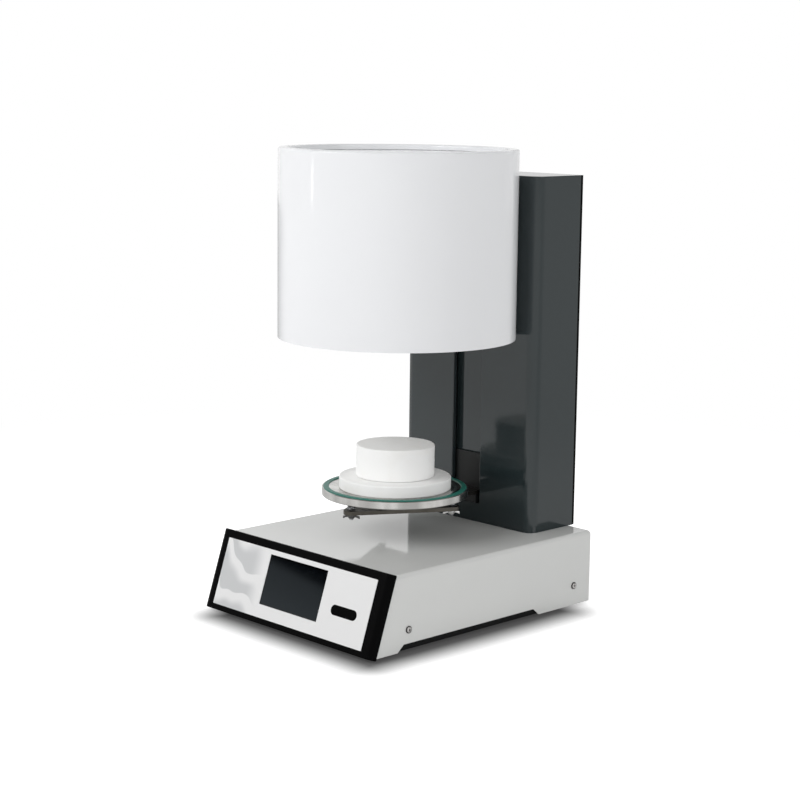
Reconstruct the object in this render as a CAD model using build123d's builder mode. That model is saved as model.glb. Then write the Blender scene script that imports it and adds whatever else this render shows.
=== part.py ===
from build123d import *
import os
from math import cos, hypot, radians, sin, sqrt

os.makedirs("parts", exist_ok=True)

# A bench-top furnace for dental ceramics. A low housing with a slanted control
# panel carries a column. The column holds a drum-shaped heating chamber, open
# below, and a lift that raises the firing platform against the chamber's flange.
# Millimetres, +Z up, X to the right seen from the front, front towards -Y.
# The origin lies on the floor, under the middle of the object's outer box.

# ---------------------------------------------------------------- driving sizes
sheet = 1.5                 # folded steel sheet of the housing and the column
seat_gap = 0.3              # gap between pieces that are fitted together
fit_gap = 0.06              # radial play of a shaft in its bearing

floor_gap = 4.0             # floor to the lower edge of the housing's sides
base_width = 276.0
base_height = 84.0          # side panel, lower edge to top
front_top = 130.0           # lift axis to the housing's upper front edge
front_bottom = 158.0        # lift axis to the housing's lower front edge
base_rear_margin = 71.0     # column's front to the housing's rear face
base_bend = 5.0             # bend radius of the housing's corners

table_radius = 44.8         # ceramic firing table
table_height = 36.1
disc_radius = 63.9          # ceramic base disc under it
disc_height = 13.9
dish_wall = 11.5            # base disc to the seal
seal_width = 6.6
seal_proud = 1.0            # how far the seal stands above the rim
rim_edge = 1.7              # seal to the outside of the platform's rim
platform_rise = 47.3        # housing top to the rim's lower edge
platform_rim = 8.9          # rim height

flange_width = 10.0         # seal to the outside of the flange's thick ring
case_margin = 20.0          # flange ring to the outside of the chamber's case
drum_air_gap = 20.0         # case to the inside of the drum's shell
drum_wall = 2.0
drum_rim = 11.5             # width of the rolled rim at the drum's top
drum_height = 211.0
drum_clearance = 228.5      # housing top to the drum's lower edge
drum_over_column = 30.5     # the drum stands this far above the column

hanger_room = 4.0           # case to the column's front, for the hanger's plate
column_width = 209.0
column_depth = 77.0
column_bend = 12.5
back_panel_depth = 3.0
slot_half = 22.3            # half of the lift slot's width
slot_return = 5.0           # depth of the slot's folded edges
shield_depth = 9.0          # column face to the shield behind the slot

bezel_side = 2.0            # how far the bezel reaches beyond the housing's sides
bezel_drop = 2.0            # and below its front, along the slope
bezel_rise = 1.5            # and above it
bezel_depth = 9.7
bezel_side_radius = 9.0
bezel_edge_radius = 1.2
overlay_side = 16.0         # bezel's sides to the overlay
overlay_end = 15.5          # bezel's height less the overlay's
overlay_thickness = 0.4
screen_width = 95.0
screen_height = 56.0

port_reach = 20.0           # how far the vacuum port stands out behind

# ------------------------------------------------------------- derived positions
seal_inner = disc_radius + dish_wall
seal_outer = seal_inner + seal_width
platform_radius = seal_outer + rim_edge
flange_outer = seal_outer + flange_width
case_radius = flange_outer + case_margin
drum_radius = case_radius + drum_air_gap + drum_wall
column_front = case_radius + hanger_room    # lift axis to the column's front face
column_rear = column_front + column_depth
column_height = drum_clearance + drum_height - drum_over_column
base_rear = column_front + base_rear_margin

base_top = floor_gap + base_height
column_top = base_top + column_height
drum_bottom = base_top + drum_clearance
drum_top = drum_bottom + drum_height
slope_run = front_bottom - front_top
slope_length = hypot(slope_run, base_height)
slope_sin = slope_run / slope_length
slope_cos = base_height / slope_length
bezel_width = base_width + 2 * bezel_side
bezel_height = slope_length + bezel_drop + bezel_rise
overlay_width = bezel_width - 2 * overlay_side
overlay_height = bezel_height - overlay_end
bezel_nose = bezel_depth * slope_cos + bezel_drop * slope_sin
bezel_nose -= bezel_edge_radius * (slope_cos + slope_sin - 1)
front_reach = front_bottom + bezel_nose
rear_reach = base_rear + port_reach
axis_y = (front_reach - rear_reach) / 2

front_top_y = axis_y - front_top
front_bottom_y = axis_y - front_bottom
base_rear_y = axis_y + base_rear
column_front_y = axis_y + column_front
column_rear_y = axis_y + column_rear
cover_rear_y = column_rear_y - back_panel_depth

panel_plane = Plane(
    origin=(0, front_bottom_y, floor_gap),
    x_dir=(1, 0, 0),
    z_dir=(0, -slope_cos, slope_sin),
)


def level(height):
    """A horizontal plane on the lift axis."""
    return Plane(origin=(0, axis_y, height), x_dir=(1, 0, 0), z_dir=(0, 0, 1))


def back_to_front(depth):
    """A plane facing the rear, at this distance behind the lift axis."""
    return Plane(origin=(0, axis_y + depth, 0), x_dir=(-1, 0, 0), z_dir=(0, 1, 0))


# ------------------------------------------------------------------ base housing
# One folded sheet: top, sides and a narrow return round the rear panel.
notch_height = 7.8
notch_lean = 9.0            # run of the notch's sloping ends
notch_rear = 87.6           # lift axis to the notch's upper corners
notch_front = 116.7
rear_return = 11.0          # width of the returns round the rear panel
line_x = -58.0              # the vacuum line stands this far to the left
line_y = column_front + 36.0   # and this far behind the lift axis
screw_axis = column_front + 34.0   # lift axis to the lead screw's axis
passage_radius = 13.0

with BuildPart() as base_housing:
    with BuildSketch(Plane.YZ):
        with BuildLine():
            Polyline(
                (front_bottom_y, floor_gap),
                (front_top_y, base_top),
                (base_rear_y, base_top),
                (base_rear_y, floor_gap),
                close=True,
            )
        make_face()
    extrude(amount=base_width / 2, both=True)
    top_bends = base_housing.edges().filter_by(Axis.Y).group_by(Axis.Z)[-1]
    rear_bends = base_housing.edges().group_by(Axis.Y)[-1].filter_by(Axis.Z)
    rear_top = base_housing.edges().group_by(Axis.Y)[-1].filter_by(Axis.X).sort_by(Axis.Z)[-1]
    fillet(top_bends + rear_bends + ShapeList([rear_top]), base_bend)
    open_faces = [base_housing.faces().sort_by(Axis.Z)[0], base_housing.faces().sort_by(Axis.Y)[0]]
    offset(amount=-sheet, openings=open_faces)
    with BuildSketch(Plane.YZ):
        with BuildLine():
            Polyline(
                (axis_y - notch_front - notch_lean, floor_gap),
                (axis_y - notch_front, floor_gap + notch_height),
                (axis_y + notch_rear, floor_gap + notch_height),
                (axis_y + notch_rear + notch_lean, floor_gap),
                close=True,
            )
        make_face()
    extrude(amount=base_width, both=True, mode=Mode.SUBTRACT)
    with BuildSketch(back_to_front(base_rear)):
        with Locations((0, floor_gap + base_height / 2)):
            Rectangle(base_width - 2 * rear_return, base_height - 2 * rear_return)
    extrude(amount=-2 * sheet, mode=Mode.SUBTRACT)
    with BuildSketch(Plane.XY.offset(base_top)):
        with Locations((0, axis_y + screw_axis), (line_x, axis_y + line_y)):
            Circle(passage_radius)
    extrude(amount=-2 * sheet, mode=Mode.SUBTRACT)
base_housing.part.label = "base_housing"
export_step(base_housing.part, "parts/base_housing.step")

# The floor pan closes the housing from below and shows behind the notch.
pan_width = base_width - 2 * (sheet + seat_gap)
pan_front_inset = 6.0       # behind the housing's lower front edge
pan_front = front_bottom_y + pan_front_inset
pan_rear = base_rear_y - sheet - seat_gap
pan_length = pan_rear - pan_front
pan_middle = (pan_rear + pan_front) / 2
pan_z = floor_gap + 1.0
pan_wall = 18.0
pan_top = pan_z + sheet
pan_vent_count = 6          # vents in each of the two rows under the board
pan_vent_pitch = 14.0
pan_vent_length = 40.0
pan_vent_width = 4.0
board_width = 130.0
board_length = 100.0
board_thickness = 1.6
board_x = -50.0
board_y = axis_y - 40.0
standoff_inset = 5.0
standoff_radius = 3.2
standoff_height = 10.0
standoff_span_x = board_width - 2 * standoff_inset
standoff_span_y = board_length - 2 * standoff_inset
board_z = pan_top + standoff_height
with BuildPart() as floor_pan:
    with BuildSketch(Plane.XY.offset(pan_z)):
        with Locations((0, pan_middle)):
            Rectangle(pan_width, pan_length)
    extrude(amount=pan_wall)
    pan_corners = floor_pan.edges().filter_by(Axis.Z).group_by(Axis.Y)[-1]
    fillet(pan_corners, base_bend)
    offset(amount=-sheet, openings=floor_pan.faces().sort_by(Axis.Z)[-1])
    with BuildSketch(Plane.YZ):
        with BuildLine():
            Polyline(
                (pan_front - sheet, pan_z + pan_wall + sheet),
                (pan_front - sheet, pan_top),
                (pan_front + sheet, pan_top),
                (pan_front + 2 * sheet + pan_wall * slope_sin / slope_cos, pan_z + pan_wall + sheet),
                close=True,
            )
        make_face()
    extrude(amount=base_width, both=True, mode=Mode.SUBTRACT)
    with BuildSketch(Plane.XY.offset(pan_z)):
        with Locations((board_x, board_y)):
            with GridLocations(pan_vent_pitch, pan_vent_length + pan_vent_pitch, pan_vent_count, 2):
                Rectangle(pan_vent_width, pan_vent_length)
    extrude(amount=2 * sheet, mode=Mode.SUBTRACT)
    with BuildSketch(Plane.XY.offset(pan_z)):
        with Locations((board_x, board_y)):
            with GridLocations(standoff_span_x, standoff_span_y, 2, 2):
                RegularPolygon(standoff_radius, 6)
    extrude(amount=board_z - pan_z)
floor_pan.part.label = "floor_pan"
export_step(floor_pan.part, "parts/floor_pan.step")

# Four rubber feet under the corners of the pan.
foot_radius = 12.0
foot_inset = 26.0
foot_taper = 8.0
foot_span_x = pan_width - 2 * foot_inset
foot_span_y = pan_length - 2 * foot_inset
with BuildPart() as rubber_feet:
    with BuildSketch(Plane.XY):
        with Locations((0, pan_middle)):
            with GridLocations(foot_span_x, foot_span_y, 2, 2):
                Circle(foot_radius)
    extrude(amount=pan_z, taper=-foot_taper)
rubber_feet.part.label = "rubber_feet"
export_step(rubber_feet.part, "parts/rubber_feet.step")

# Pan-head screws hold the housing's sides to the pan's walls.
side_screw_front = 110.0
side_screw_rear = base_rear - 31.0
side_screw_z = floor_gap + 23.0
side_screw_head = 4.0
side_screw_rise = 2.0
side_screw_taper = 18.0
with BuildPart() as side_screws:
    for side in (-1, 1):
        face = Plane(
            origin=(side * base_width / 2, axis_y, side_screw_z),
            x_dir=(0, 1, 0),
            z_dir=(side, 0, 0),
        )
        with BuildSketch(face):
            with Locations((-side_screw_front, 0), (side_screw_rear, 0)):
                Circle(side_screw_head)
        extrude(amount=side_screw_rise, taper=side_screw_taper)
side_screws.part.label = "side_screws"
export_step(side_screws.part, "parts/side_screws.step")

# ------------------------------------------------------------------ control panel
# A moulded black bezel, hollow from behind, with a lip that enters the housing.
bezel_wall = 3.0
bezel_side_wall = 9.0       # the bezel's sides are thick enough for their round edges
bezel_end_wall = 6.0
lip_depth = 6.0
lip_clearance = 1.5
window_radius = 0.8
bezel_middle = bezel_height / 2 - bezel_drop
screen_middle = 47.5        # up the slope
window_width = screen_width + 2 * seat_gap
window_height = screen_height + 2 * seat_gap
lip_width = base_width - 2 * (sheet + seat_gap + lip_clearance)
lip_low = 6.0
lip_high = slope_length - sheet - seat_gap - lip_clearance
lip_middle = (lip_low + lip_high) / 2
bezel_foot = panel_plane.location * Location((0, -bezel_drop, 0))
bezel_section = Plane(origin=bezel_foot.position, x_dir=(1, 0, 0), z_dir=(0, slope_sin, slope_cos))
with BuildPart() as front_bezel:
    with BuildSketch(bezel_section):
        with BuildLine():
            Polyline(
                (-bezel_width / 2, -seat_gap),
                (-bezel_width / 2, -bezel_depth),
                (bezel_width / 2, -bezel_depth),
                (bezel_width / 2, -seat_gap),
                close=True,
            )
        make_face()
        fillet(vertices().group_by(Axis.Y)[0], bezel_side_radius - seat_gap)
    extrude(amount=bezel_height)
    ends = front_bezel.faces().filter_by(bezel_section)
    rear_edges = front_bezel.faces().filter_by(panel_plane).sort_by(Axis.Y)[-1].edges()
    fillet(ends.edges() - rear_edges, bezel_edge_radius)
    with BuildSketch(panel_plane.offset(seat_gap)):
        with Locations((0, bezel_middle)):
            Rectangle(bezel_width - 2 * bezel_side_wall, bezel_height - 2 * bezel_end_wall)
    extrude(amount=bezel_depth - seat_gap - bezel_wall, mode=Mode.SUBTRACT)
    with BuildSketch(panel_plane.offset(-lip_depth)):
        with Locations((0, lip_middle)):
            RectangleRounded(lip_width, lip_high - lip_low, base_bend)
            RectangleRounded(
                lip_width - 2 * bezel_wall,
                lip_high - lip_low - 2 * bezel_wall,
                base_bend / 2,
                mode=Mode.SUBTRACT,
            )
    extrude(amount=lip_depth + 2 * bezel_wall)
    with BuildSketch(panel_plane):
        with Locations((0, screen_middle)):
            RectangleRounded(window_width, window_height, window_radius)
    extrude(amount=bezel_depth + sheet, mode=Mode.SUBTRACT)
front_bezel.part.label = "front_bezel"
export_step(front_bezel.part, "parts/front_bezel.step")

# The printed overlay film, with a window for the screen.
overlay_middle = bezel_middle - 1.2
overlay_radius = 0.8
with BuildPart() as panel_overlay:
    with BuildSketch(panel_plane.offset(bezel_depth)):
        with Locations((0, overlay_middle)):
            RectangleRounded(overlay_width, overlay_height, overlay_radius)
        with Locations((0, screen_middle)):
            RectangleRounded(window_width, window_height, window_radius, mode=Mode.SUBTRACT)
    extrude(amount=overlay_thickness)
panel_overlay.part.label = "panel_overlay"
export_step(panel_overlay.part, "parts/panel_overlay.step")

glass_thickness = 1.8
glass_proud = 0.2
glass_back = bezel_depth + glass_proud - glass_thickness
with BuildPart() as touch_screen:
    with BuildSketch(panel_plane.offset(glass_back)):
        with Locations((0, screen_middle)):
            RectangleRounded(screen_width, screen_height, window_radius - seat_gap)
    extrude(amount=glass_thickness)
touch_screen.part.label = "touch_screen"
export_step(touch_screen.part, "parts/touch_screen.step")

module_margin = 7.0         # the module's case is this much wider than the screen
module_depth = 8.0
module_step = 0.5           # the raised face is this much smaller than the glass
module_top = bezel_depth - bezel_wall
with BuildPart() as display_module:
    with BuildSketch(panel_plane.offset(module_top - module_depth)):
        with Locations((0, screen_middle)):
            Rectangle(screen_width + 2 * module_margin, screen_height + module_margin)
    extrude(amount=module_depth)
    with BuildSketch(panel_plane.offset(module_top)):
        with Locations((0, screen_middle)):
            Rectangle(screen_width - 2 * module_step, screen_height - 2 * module_step)
    extrude(amount=glass_back - module_top)
display_module.part.label = "display_module"
export_step(display_module.part, "parts/display_module.step")

# --------------------------------------------------------------------- rear panel
# The rear panel sits inside the housing's returns and carries the connections.
panel_thickness = 1.5
panel_rear = base_rear - sheet - seat_gap
panel_margin = 5.0
panel_bottom_z = pan_z + pan_wall + 2 * seat_gap
panel_top_z = base_top - base_bend - seat_gap
panel_middle_z = (panel_top_z + panel_bottom_z) / 2
fan_x = -84.0
fan_size = 50.0
fan_opening = 22.5
fan_z = panel_middle_z
inlet_x = 86.0
inlet_z = panel_middle_z
inlet_cut_width = 27.4
inlet_cut_height = 20.2
switch_x = 46.0
switch_width = 21.0
switch_height = 28.0
switch_rim_overlap = 1.0    # the frame's rim covers the edge of its hole
port_x = -36.0
port_z = panel_middle_z + 6.0
port_thread = 5.0
fan_screw_span = 40.0
fan_screw_radius = 2.1

with BuildPart() as rear_panel:
    with BuildSketch(back_to_front(panel_rear)):
        with Locations((0, panel_middle_z)):
            Rectangle(base_width - 2 * (sheet + panel_margin), panel_top_z - panel_bottom_z)
        with Locations((-fan_x, fan_z)):
            Circle(fan_opening, mode=Mode.SUBTRACT)
            with GridLocations(fan_screw_span, fan_screw_span, 2, 2):
                Circle(fan_screw_radius, mode=Mode.SUBTRACT)
        with Locations((-inlet_x, inlet_z)):
            Rectangle(inlet_cut_width, inlet_cut_height, mode=Mode.SUBTRACT)
        with Locations((-switch_x, inlet_z)):
            Rectangle(switch_width, switch_height, mode=Mode.SUBTRACT)
        with Locations((-port_x, port_z)):
            Circle(port_thread + seat_gap, mode=Mode.SUBTRACT)
    extrude(amount=-panel_thickness)
rear_panel.part.label = "rear_panel"
export_step(rear_panel.part, "parts/rear_panel.step")

# Mains inlet: a flanged socket with a shrouded well and three blades.
inlet_flange_width = 50.0
inlet_flange_height = 25.0
inlet_flange = 2.5
inlet_flange_corner = 3.0
inlet_body = 24.0
well_depth = 20.0
well_width = 24.4
well_height = 16.6
well_corner = 5.0           # bevel of the well's upper corners
blade_length = 15.0
blade_width = 2.0
blade_height = 5.0
blade_pitch = 7.0
blade_drop = 2.0            # outer blades below the middle of the well, the inner one above
with BuildPart() as power_inlet:
    with BuildSketch(back_to_front(panel_rear)):
        with Locations((-inlet_x, inlet_z)):
            RectangleRounded(inlet_flange_width, inlet_flange_height, inlet_flange_corner)
    extrude(amount=inlet_flange)
    with BuildSketch(back_to_front(panel_rear)):
        with Locations((-inlet_x, inlet_z)):
            Rectangle(inlet_cut_width - 2 * seat_gap, inlet_cut_height - 2 * seat_gap)
    extrude(amount=-inlet_body)
    with BuildSketch(back_to_front(panel_rear + inlet_flange)):
        with Locations((-inlet_x, inlet_z)):
            Rectangle(well_width, well_height)
            chamfer(vertices().group_by(Axis.Y)[-1], well_corner)
    extrude(amount=-well_depth, mode=Mode.SUBTRACT)
    with BuildSketch(back_to_front(panel_rear + inlet_flange - well_depth)):
        with Locations((-inlet_x, inlet_z)):
            with Locations((-blade_pitch, -blade_drop), (0, blade_drop), (blade_pitch, -blade_drop)):
                Rectangle(blade_width, blade_height)
    extrude(amount=blade_length)
power_inlet.part.label = "power_inlet"
export_step(power_inlet.part, "parts/power_inlet.step")

# Mains switch: a snap-in frame with a rocker that tips about a short pin.
switch_depth = 18.0
switch_floor = 4.0
switch_rim = 2.0
rocker_width = 14.0
rocker_height = 18.6
rocker_side_gap = 0.4
rocker_end_gap = 2.0        # room for the rocker's ends as they swing
rocker_pivot = 4.0          # pin's depth behind the panel's rear face
pin_radius = 1.2
pin_reach = 1.5             # how far the pin enters the frame's sides
well_side = rocker_width / 2 + rocker_side_gap
rocker_pivot_y = axis_y + panel_rear - rocker_pivot
with BuildPart() as switch_frame:
    with BuildSketch(back_to_front(panel_rear)):
        with Locations((-switch_x, inlet_z)):
            RectangleRounded(
                switch_width + 2 * switch_rim_overlap,
                switch_height + 2 * switch_rim_overlap,
                switch_rim_overlap,
            )
    extrude(amount=switch_rim)
    with BuildSketch(back_to_front(panel_rear)):
        with Locations((-switch_x, inlet_z)):
            Rectangle(switch_width - 2 * seat_gap, switch_height - 2 * seat_gap)
    extrude(amount=-switch_depth)
    with BuildSketch(back_to_front(panel_rear + switch_rim)):
        with Locations((-switch_x, inlet_z)):
            Rectangle(2 * well_side, rocker_height + 2 * rocker_end_gap)
    extrude(amount=-(switch_depth + switch_rim - switch_floor), mode=Mode.SUBTRACT)
    with BuildSketch(Plane.YZ.offset(switch_x - well_side - pin_reach)):
        with Locations((rocker_pivot_y, inlet_z)):
            Circle(pin_radius + fit_gap)
    extrude(amount=2 * (well_side + pin_reach), mode=Mode.SUBTRACT)
switch_frame.part.label = "switch_frame"
export_step(switch_frame.part, "parts/switch_frame.step")

rocker_front = 7.0          # pin to the tips of the rocker's two halves
rocker_middle = 5.4         # pin to the trough between them
rocker_tail = 4.0
rocker_tip = 12.0           # degrees each way; it rests in its off position
rocker_plane = Plane(
    origin=(switch_x - rocker_width / 2, rocker_pivot_y, inlet_z),
    x_dir=(0, cos(radians(rocker_tip)), sin(radians(rocker_tip))),
    z_dir=(1, 0, 0),
)
with BuildPart() as power_rocker:
    with BuildSketch(rocker_plane):
        with BuildLine():
            Polyline(
                (-rocker_tail, -rocker_tail),
                (0, -rocker_height / 2),
                (rocker_front, -rocker_height / 2),
                (rocker_middle, 0),
                (rocker_front, rocker_height / 2),
                (0, rocker_height / 2),
                (-rocker_tail, rocker_tail),
                close=True,
            )
        make_face()
    extrude(amount=rocker_width)
    with BuildSketch(rocker_plane.offset(-pin_reach)):
        Circle(pin_radius)
    extrude(amount=rocker_width + 2 * pin_reach)
power_rocker.part.label = "power_rocker"
export_step(power_rocker.part, "parts/power_rocker.step")

# Cooling fan behind the panel, with a ring guard outside.
fan_thickness = 15.0
fan_corner = 3.0
fan_bore = fan_opening + 1.0
hub_radius = 11.0
hub_inset = 1.0             # hub's face behind the frame's
hub_room = 3.5              # hub's back to the frame's rear face
blade_count = 7
blade_clearance = 1.5
blade_twist = 38.0
blade_wash = 14.0           # the blades are flatter at their tips by this much
blade_root_thickness = 1.6
blade_tip_thickness = 1.0
fan_shaft = 3.0
strut_width = 3.0
strut_depth = 2.5
fan_front = panel_rear - panel_thickness
motor_radius = 10.0
with BuildPart() as fan_frame:
    with BuildSketch(back_to_front(fan_front)):
        with Locations((-fan_x, fan_z)):
            RectangleRounded(fan_size, fan_size, fan_corner)
            Circle(fan_bore, mode=Mode.SUBTRACT)
            with GridLocations(fan_screw_span, fan_screw_span, 2, 2):
                Circle(fan_screw_radius, mode=Mode.SUBTRACT)
    extrude(amount=-fan_thickness)
    with BuildSketch(back_to_front(fan_front - fan_thickness)):
        with Locations((-fan_x, fan_z)):
            Circle(motor_radius)
            with PolarLocations((fan_bore + motor_radius) / 2, 4, 45):
                Rectangle(fan_bore - motor_radius + strut_width, strut_width)
            Circle(fan_shaft + fit_gap, mode=Mode.SUBTRACT)
    extrude(amount=strut_depth)
fan_frame.part.label = "fan_frame"
export_step(fan_frame.part, "parts/fan_frame.step")

hub_depth = fan_thickness - hub_inset - hub_room
with BuildPart() as fan_impeller:
    with BuildSketch(back_to_front(fan_front - hub_inset)):
        with Locations((-fan_x, fan_z)):
            Circle(hub_radius)
    extrude(amount=-hub_depth)
    for index in range(blade_count):
        angle = radians(360 * index / blade_count)
        root = Plane(
            origin=(fan_x, axis_y + fan_front - hub_inset - hub_depth / 2, fan_z),
            x_dir=(0, 1, 0),
            z_dir=(cos(angle), 0, sin(angle)),
        )
        with BuildSketch(root.offset(hub_radius - hub_inset)):
            Rectangle(hub_depth - hub_inset, blade_root_thickness, rotation=blade_twist)
        with BuildSketch(root.offset(fan_bore - blade_clearance)):
            Rectangle(hub_depth - 2 * hub_inset, blade_tip_thickness, rotation=blade_twist - blade_wash)
        loft()
    with BuildSketch(back_to_front(fan_front - fan_thickness)):
        with Locations((-fan_x, fan_z)):
            Circle(fan_shaft)
    extrude(amount=fan_thickness / 2)
fan_impeller.part.label = "fan_impeller"
export_step(fan_impeller.part, "parts/fan_impeller.step")

guard_wire = 1.6
guard_rings = 3
guard_pitch = 6.0
guard_eye = 3.2
guard_arm_start = fan_opening - (guard_rings - 1) * guard_pitch - guard_wire
guard_arm_end = fan_screw_span / sqrt(2)
with BuildPart() as fan_guard:
    with BuildSketch(back_to_front(panel_rear)):
        with Locations((-fan_x, fan_z)):
            for ring in range(guard_rings):
                Circle(fan_opening - ring * guard_pitch)
                Circle(fan_opening - ring * guard_pitch - guard_wire, mode=Mode.SUBTRACT)
            with GridLocations(fan_screw_span, fan_screw_span, 2, 2):
                Circle(guard_eye)
            with PolarLocations((guard_arm_start + guard_arm_end) / 2, 4, 45):
                Rectangle(guard_arm_end - guard_arm_start, guard_wire)
    extrude(amount=guard_wire)
fan_guard.part.label = "fan_guard"
export_step(fan_guard.part, "parts/fan_guard.step")

# Vacuum port: a brass hose tail screwed through the panel with a nut inside.
tail_bore = 2.0
tail_radius = 4.3           # the tail's barbs
tail_neck = 3.3
tail_start = 6.5            # first barb behind the panel
barb_pitch = 4.0
port_collar = 2.5
port_depth = 14.0
port_nut = 8.5
port_nut_height = 4.0
port_end = base_rear + port_reach - panel_rear
with BuildPart() as vacuum_port:
    with BuildSketch(Plane(origin=(port_x, axis_y + panel_rear, port_z), x_dir=(0, 1, 0), z_dir=(1, 0, 0))):
        with BuildLine():
            Polyline(
                (-port_depth, tail_bore),
                (-port_depth, port_thread),
                (port_collar, port_thread),
                (port_collar, tail_neck),
                (tail_start, tail_neck),
                (tail_start, tail_radius),
                (tail_start + barb_pitch, tail_neck),
                (tail_start + barb_pitch, tail_radius),
                (tail_start + 2 * barb_pitch, tail_neck),
                (tail_start + 2 * barb_pitch, tail_radius),
                (port_end, tail_neck),
                (port_end, tail_bore),
                close=True,
            )
        make_face()
    revolve(axis=Axis((port_x, axis_y + panel_rear, port_z), (0, 1, 0)))
    with BuildSketch(back_to_front(panel_rear)):
        with Locations((-port_x, port_z)):
            RegularPolygon(port_nut, 6)
            Circle((port_thread + tail_bore) / 2, mode=Mode.SUBTRACT)
    extrude(amount=port_nut_height)
    with BuildSketch(back_to_front(panel_rear - panel_thickness)):
        with Locations((-port_x, port_z)):
            RegularPolygon(port_nut, 6)
            Circle((port_thread + tail_bore) / 2, mode=Mode.SUBTRACT)
    extrude(amount=-port_nut_height)
vacuum_port.part.label = "vacuum_port"
export_step(vacuum_port.part, "parts/vacuum_port.step")

# -------------------------------------------------------------------- electronics
board_top = board_z + board_thickness
edge_connector = (70.0, 12.0, 10.0)      # each component: width, length and height
side_connector = (30.0, 24.0, 10.0)
processor = (26.0, 26.0, 3.0)
transformer = (24.0, 22.0, 20.0)
capacitor_radius = 8.0
capacitor_height = 22.0
capacitor_pitch = 22.0
with BuildPart() as control_board:
    with BuildSketch(Plane.XY.offset(board_z)):
        with Locations((board_x, board_y)):
            Rectangle(board_width, board_length)
    extrude(amount=board_thickness)
    for width, length, height, across, along in (
        (*edge_connector, board_width / 6, 0.36 * board_length),
        (*side_connector, -board_width / 3, -board_length / 4),
        (*processor, board_width / 6, -board_length / 12),
        (*transformer, board_width / 6, -0.36 * board_length),
    ):
        with BuildSketch(Plane.XY.offset(board_top)):
            with Locations((board_x + across, board_y + along)):
                Rectangle(width, length)
        extrude(amount=height)
    with BuildSketch(Plane.XY.offset(board_top)):
        with Locations((board_x - board_width / 5, board_y + board_length / 7)):
            with GridLocations(capacitor_pitch, 1, 2, 1):
                Circle(capacitor_radius)
    extrude(amount=capacitor_height)
control_board.part.label = "control_board"
export_step(control_board.part, "parts/control_board.step")

supply_width = 78.0
supply_length = 110.0
supply_height = 38.0
supply_bend = 1.5
supply_x = 74.0
supply_y = axis_y - 30.0
supply_vent_count = 6
supply_vent_pitch = 10.0
supply_vent_length = 60.0
supply_vent_width = 4.0
supply_vent_depth = 1.0
strip_depth = 8.0           # recess of the terminal strip in the supply's front
strip_height = 14.0
strip_margin = 6.0
with BuildPart() as power_supply:
    with BuildSketch(Plane.XY.offset(pan_top)):
        with Locations((supply_x, supply_y)):
            Rectangle(supply_width, supply_length)
    extrude(amount=supply_height)
    fillet(power_supply.edges().filter_by(Axis.Y).group_by(Axis.Z)[-1], supply_bend)
    with BuildSketch(Plane.XY.offset(pan_top + supply_height)):
        with Locations((supply_x, supply_y)):
            with GridLocations(supply_vent_pitch, 1, supply_vent_count, 1):
                Rectangle(supply_vent_width, supply_vent_length)
    extrude(amount=-supply_vent_depth, mode=Mode.SUBTRACT)
    with BuildSketch(Plane.XZ.offset(supply_length / 2 - supply_y)):
        with Locations((supply_x, pan_top + supply_height / 2)):
            Rectangle(supply_width - 2 * strip_margin, strip_height)
    extrude(amount=-strip_depth, mode=Mode.SUBTRACT)
power_supply.part.label = "power_supply"
export_step(power_supply.part, "parts/power_supply.step")

relay_x = 92.0
relay_y = axis_y + 92.0
relay_width = 44.0
relay_length = 56.0
relay_foot = 3.0            # the metal foot reaches this far beyond the body at its ends
relay_foot_height = 5.0
relay_height = 18.0
relay_post_radius = 4.0
relay_post_inset = 9.0
relay_post_height = 3.0
with BuildPart() as heater_relay:
    with BuildSketch(Plane.XY.offset(pan_top)):
        with Locations((relay_x, relay_y)):
            Rectangle(relay_width, relay_length + 2 * relay_foot)
    extrude(amount=relay_foot_height)
    with BuildSketch(Plane.XY.offset(pan_top + relay_foot_height)):
        with Locations((relay_x, relay_y)):
            Rectangle(relay_width, relay_length)
    extrude(amount=relay_height)
    with BuildSketch(Plane.XY.offset(pan_top + relay_foot_height + relay_height)):
        with Locations((relay_x, relay_y)):
            with GridLocations(relay_width - 2 * relay_post_inset, relay_length - 2 * relay_post_inset, 2, 2):
                Circle(relay_post_radius)
    extrude(amount=relay_post_height)
heater_relay.part.label = "heater_relay"
export_step(heater_relay.part, "parts/heater_relay.step")

# ------------------------------------------------------------------ column casing
# One folded and welded cover: front, sides and top, with a slot for the lift arm.
flange_rise = 1.5           # the chamber's flange above the drum's lower edge
lift_travel = drum_clearance + flange_rise - platform_rise - platform_rim - seal_proud - seat_gap
arm_bottom = base_top + 23.2
bracket_height = 57.8
slot_foot_gap = 1.0         # slot's lower end below the arm
slot_head_gap = 4.0         # slot's upper end above the raised bracket
slot_bottom = arm_bottom - slot_foot_gap
slot_top = arm_bottom + bracket_height + lift_travel + slot_head_gap
hanger_x = 50.0             # the drum hanger's webs, right and left of the middle
hanger_thickness = 4.0
hanger_bottom = drum_bottom + 36.0
hanger_top = drum_bottom + 156.0
line_radius = 4.0           # vacuum line inside the column
line_entry_z = drum_bottom + 18.0
hole_margin = 1.0           # round what passes through the column's front
top_bend = 1.0
slot_bend = 1.0
cover_depth = cover_rear_y - column_front_y
cover_middle = (cover_rear_y + column_front_y) / 2

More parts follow.
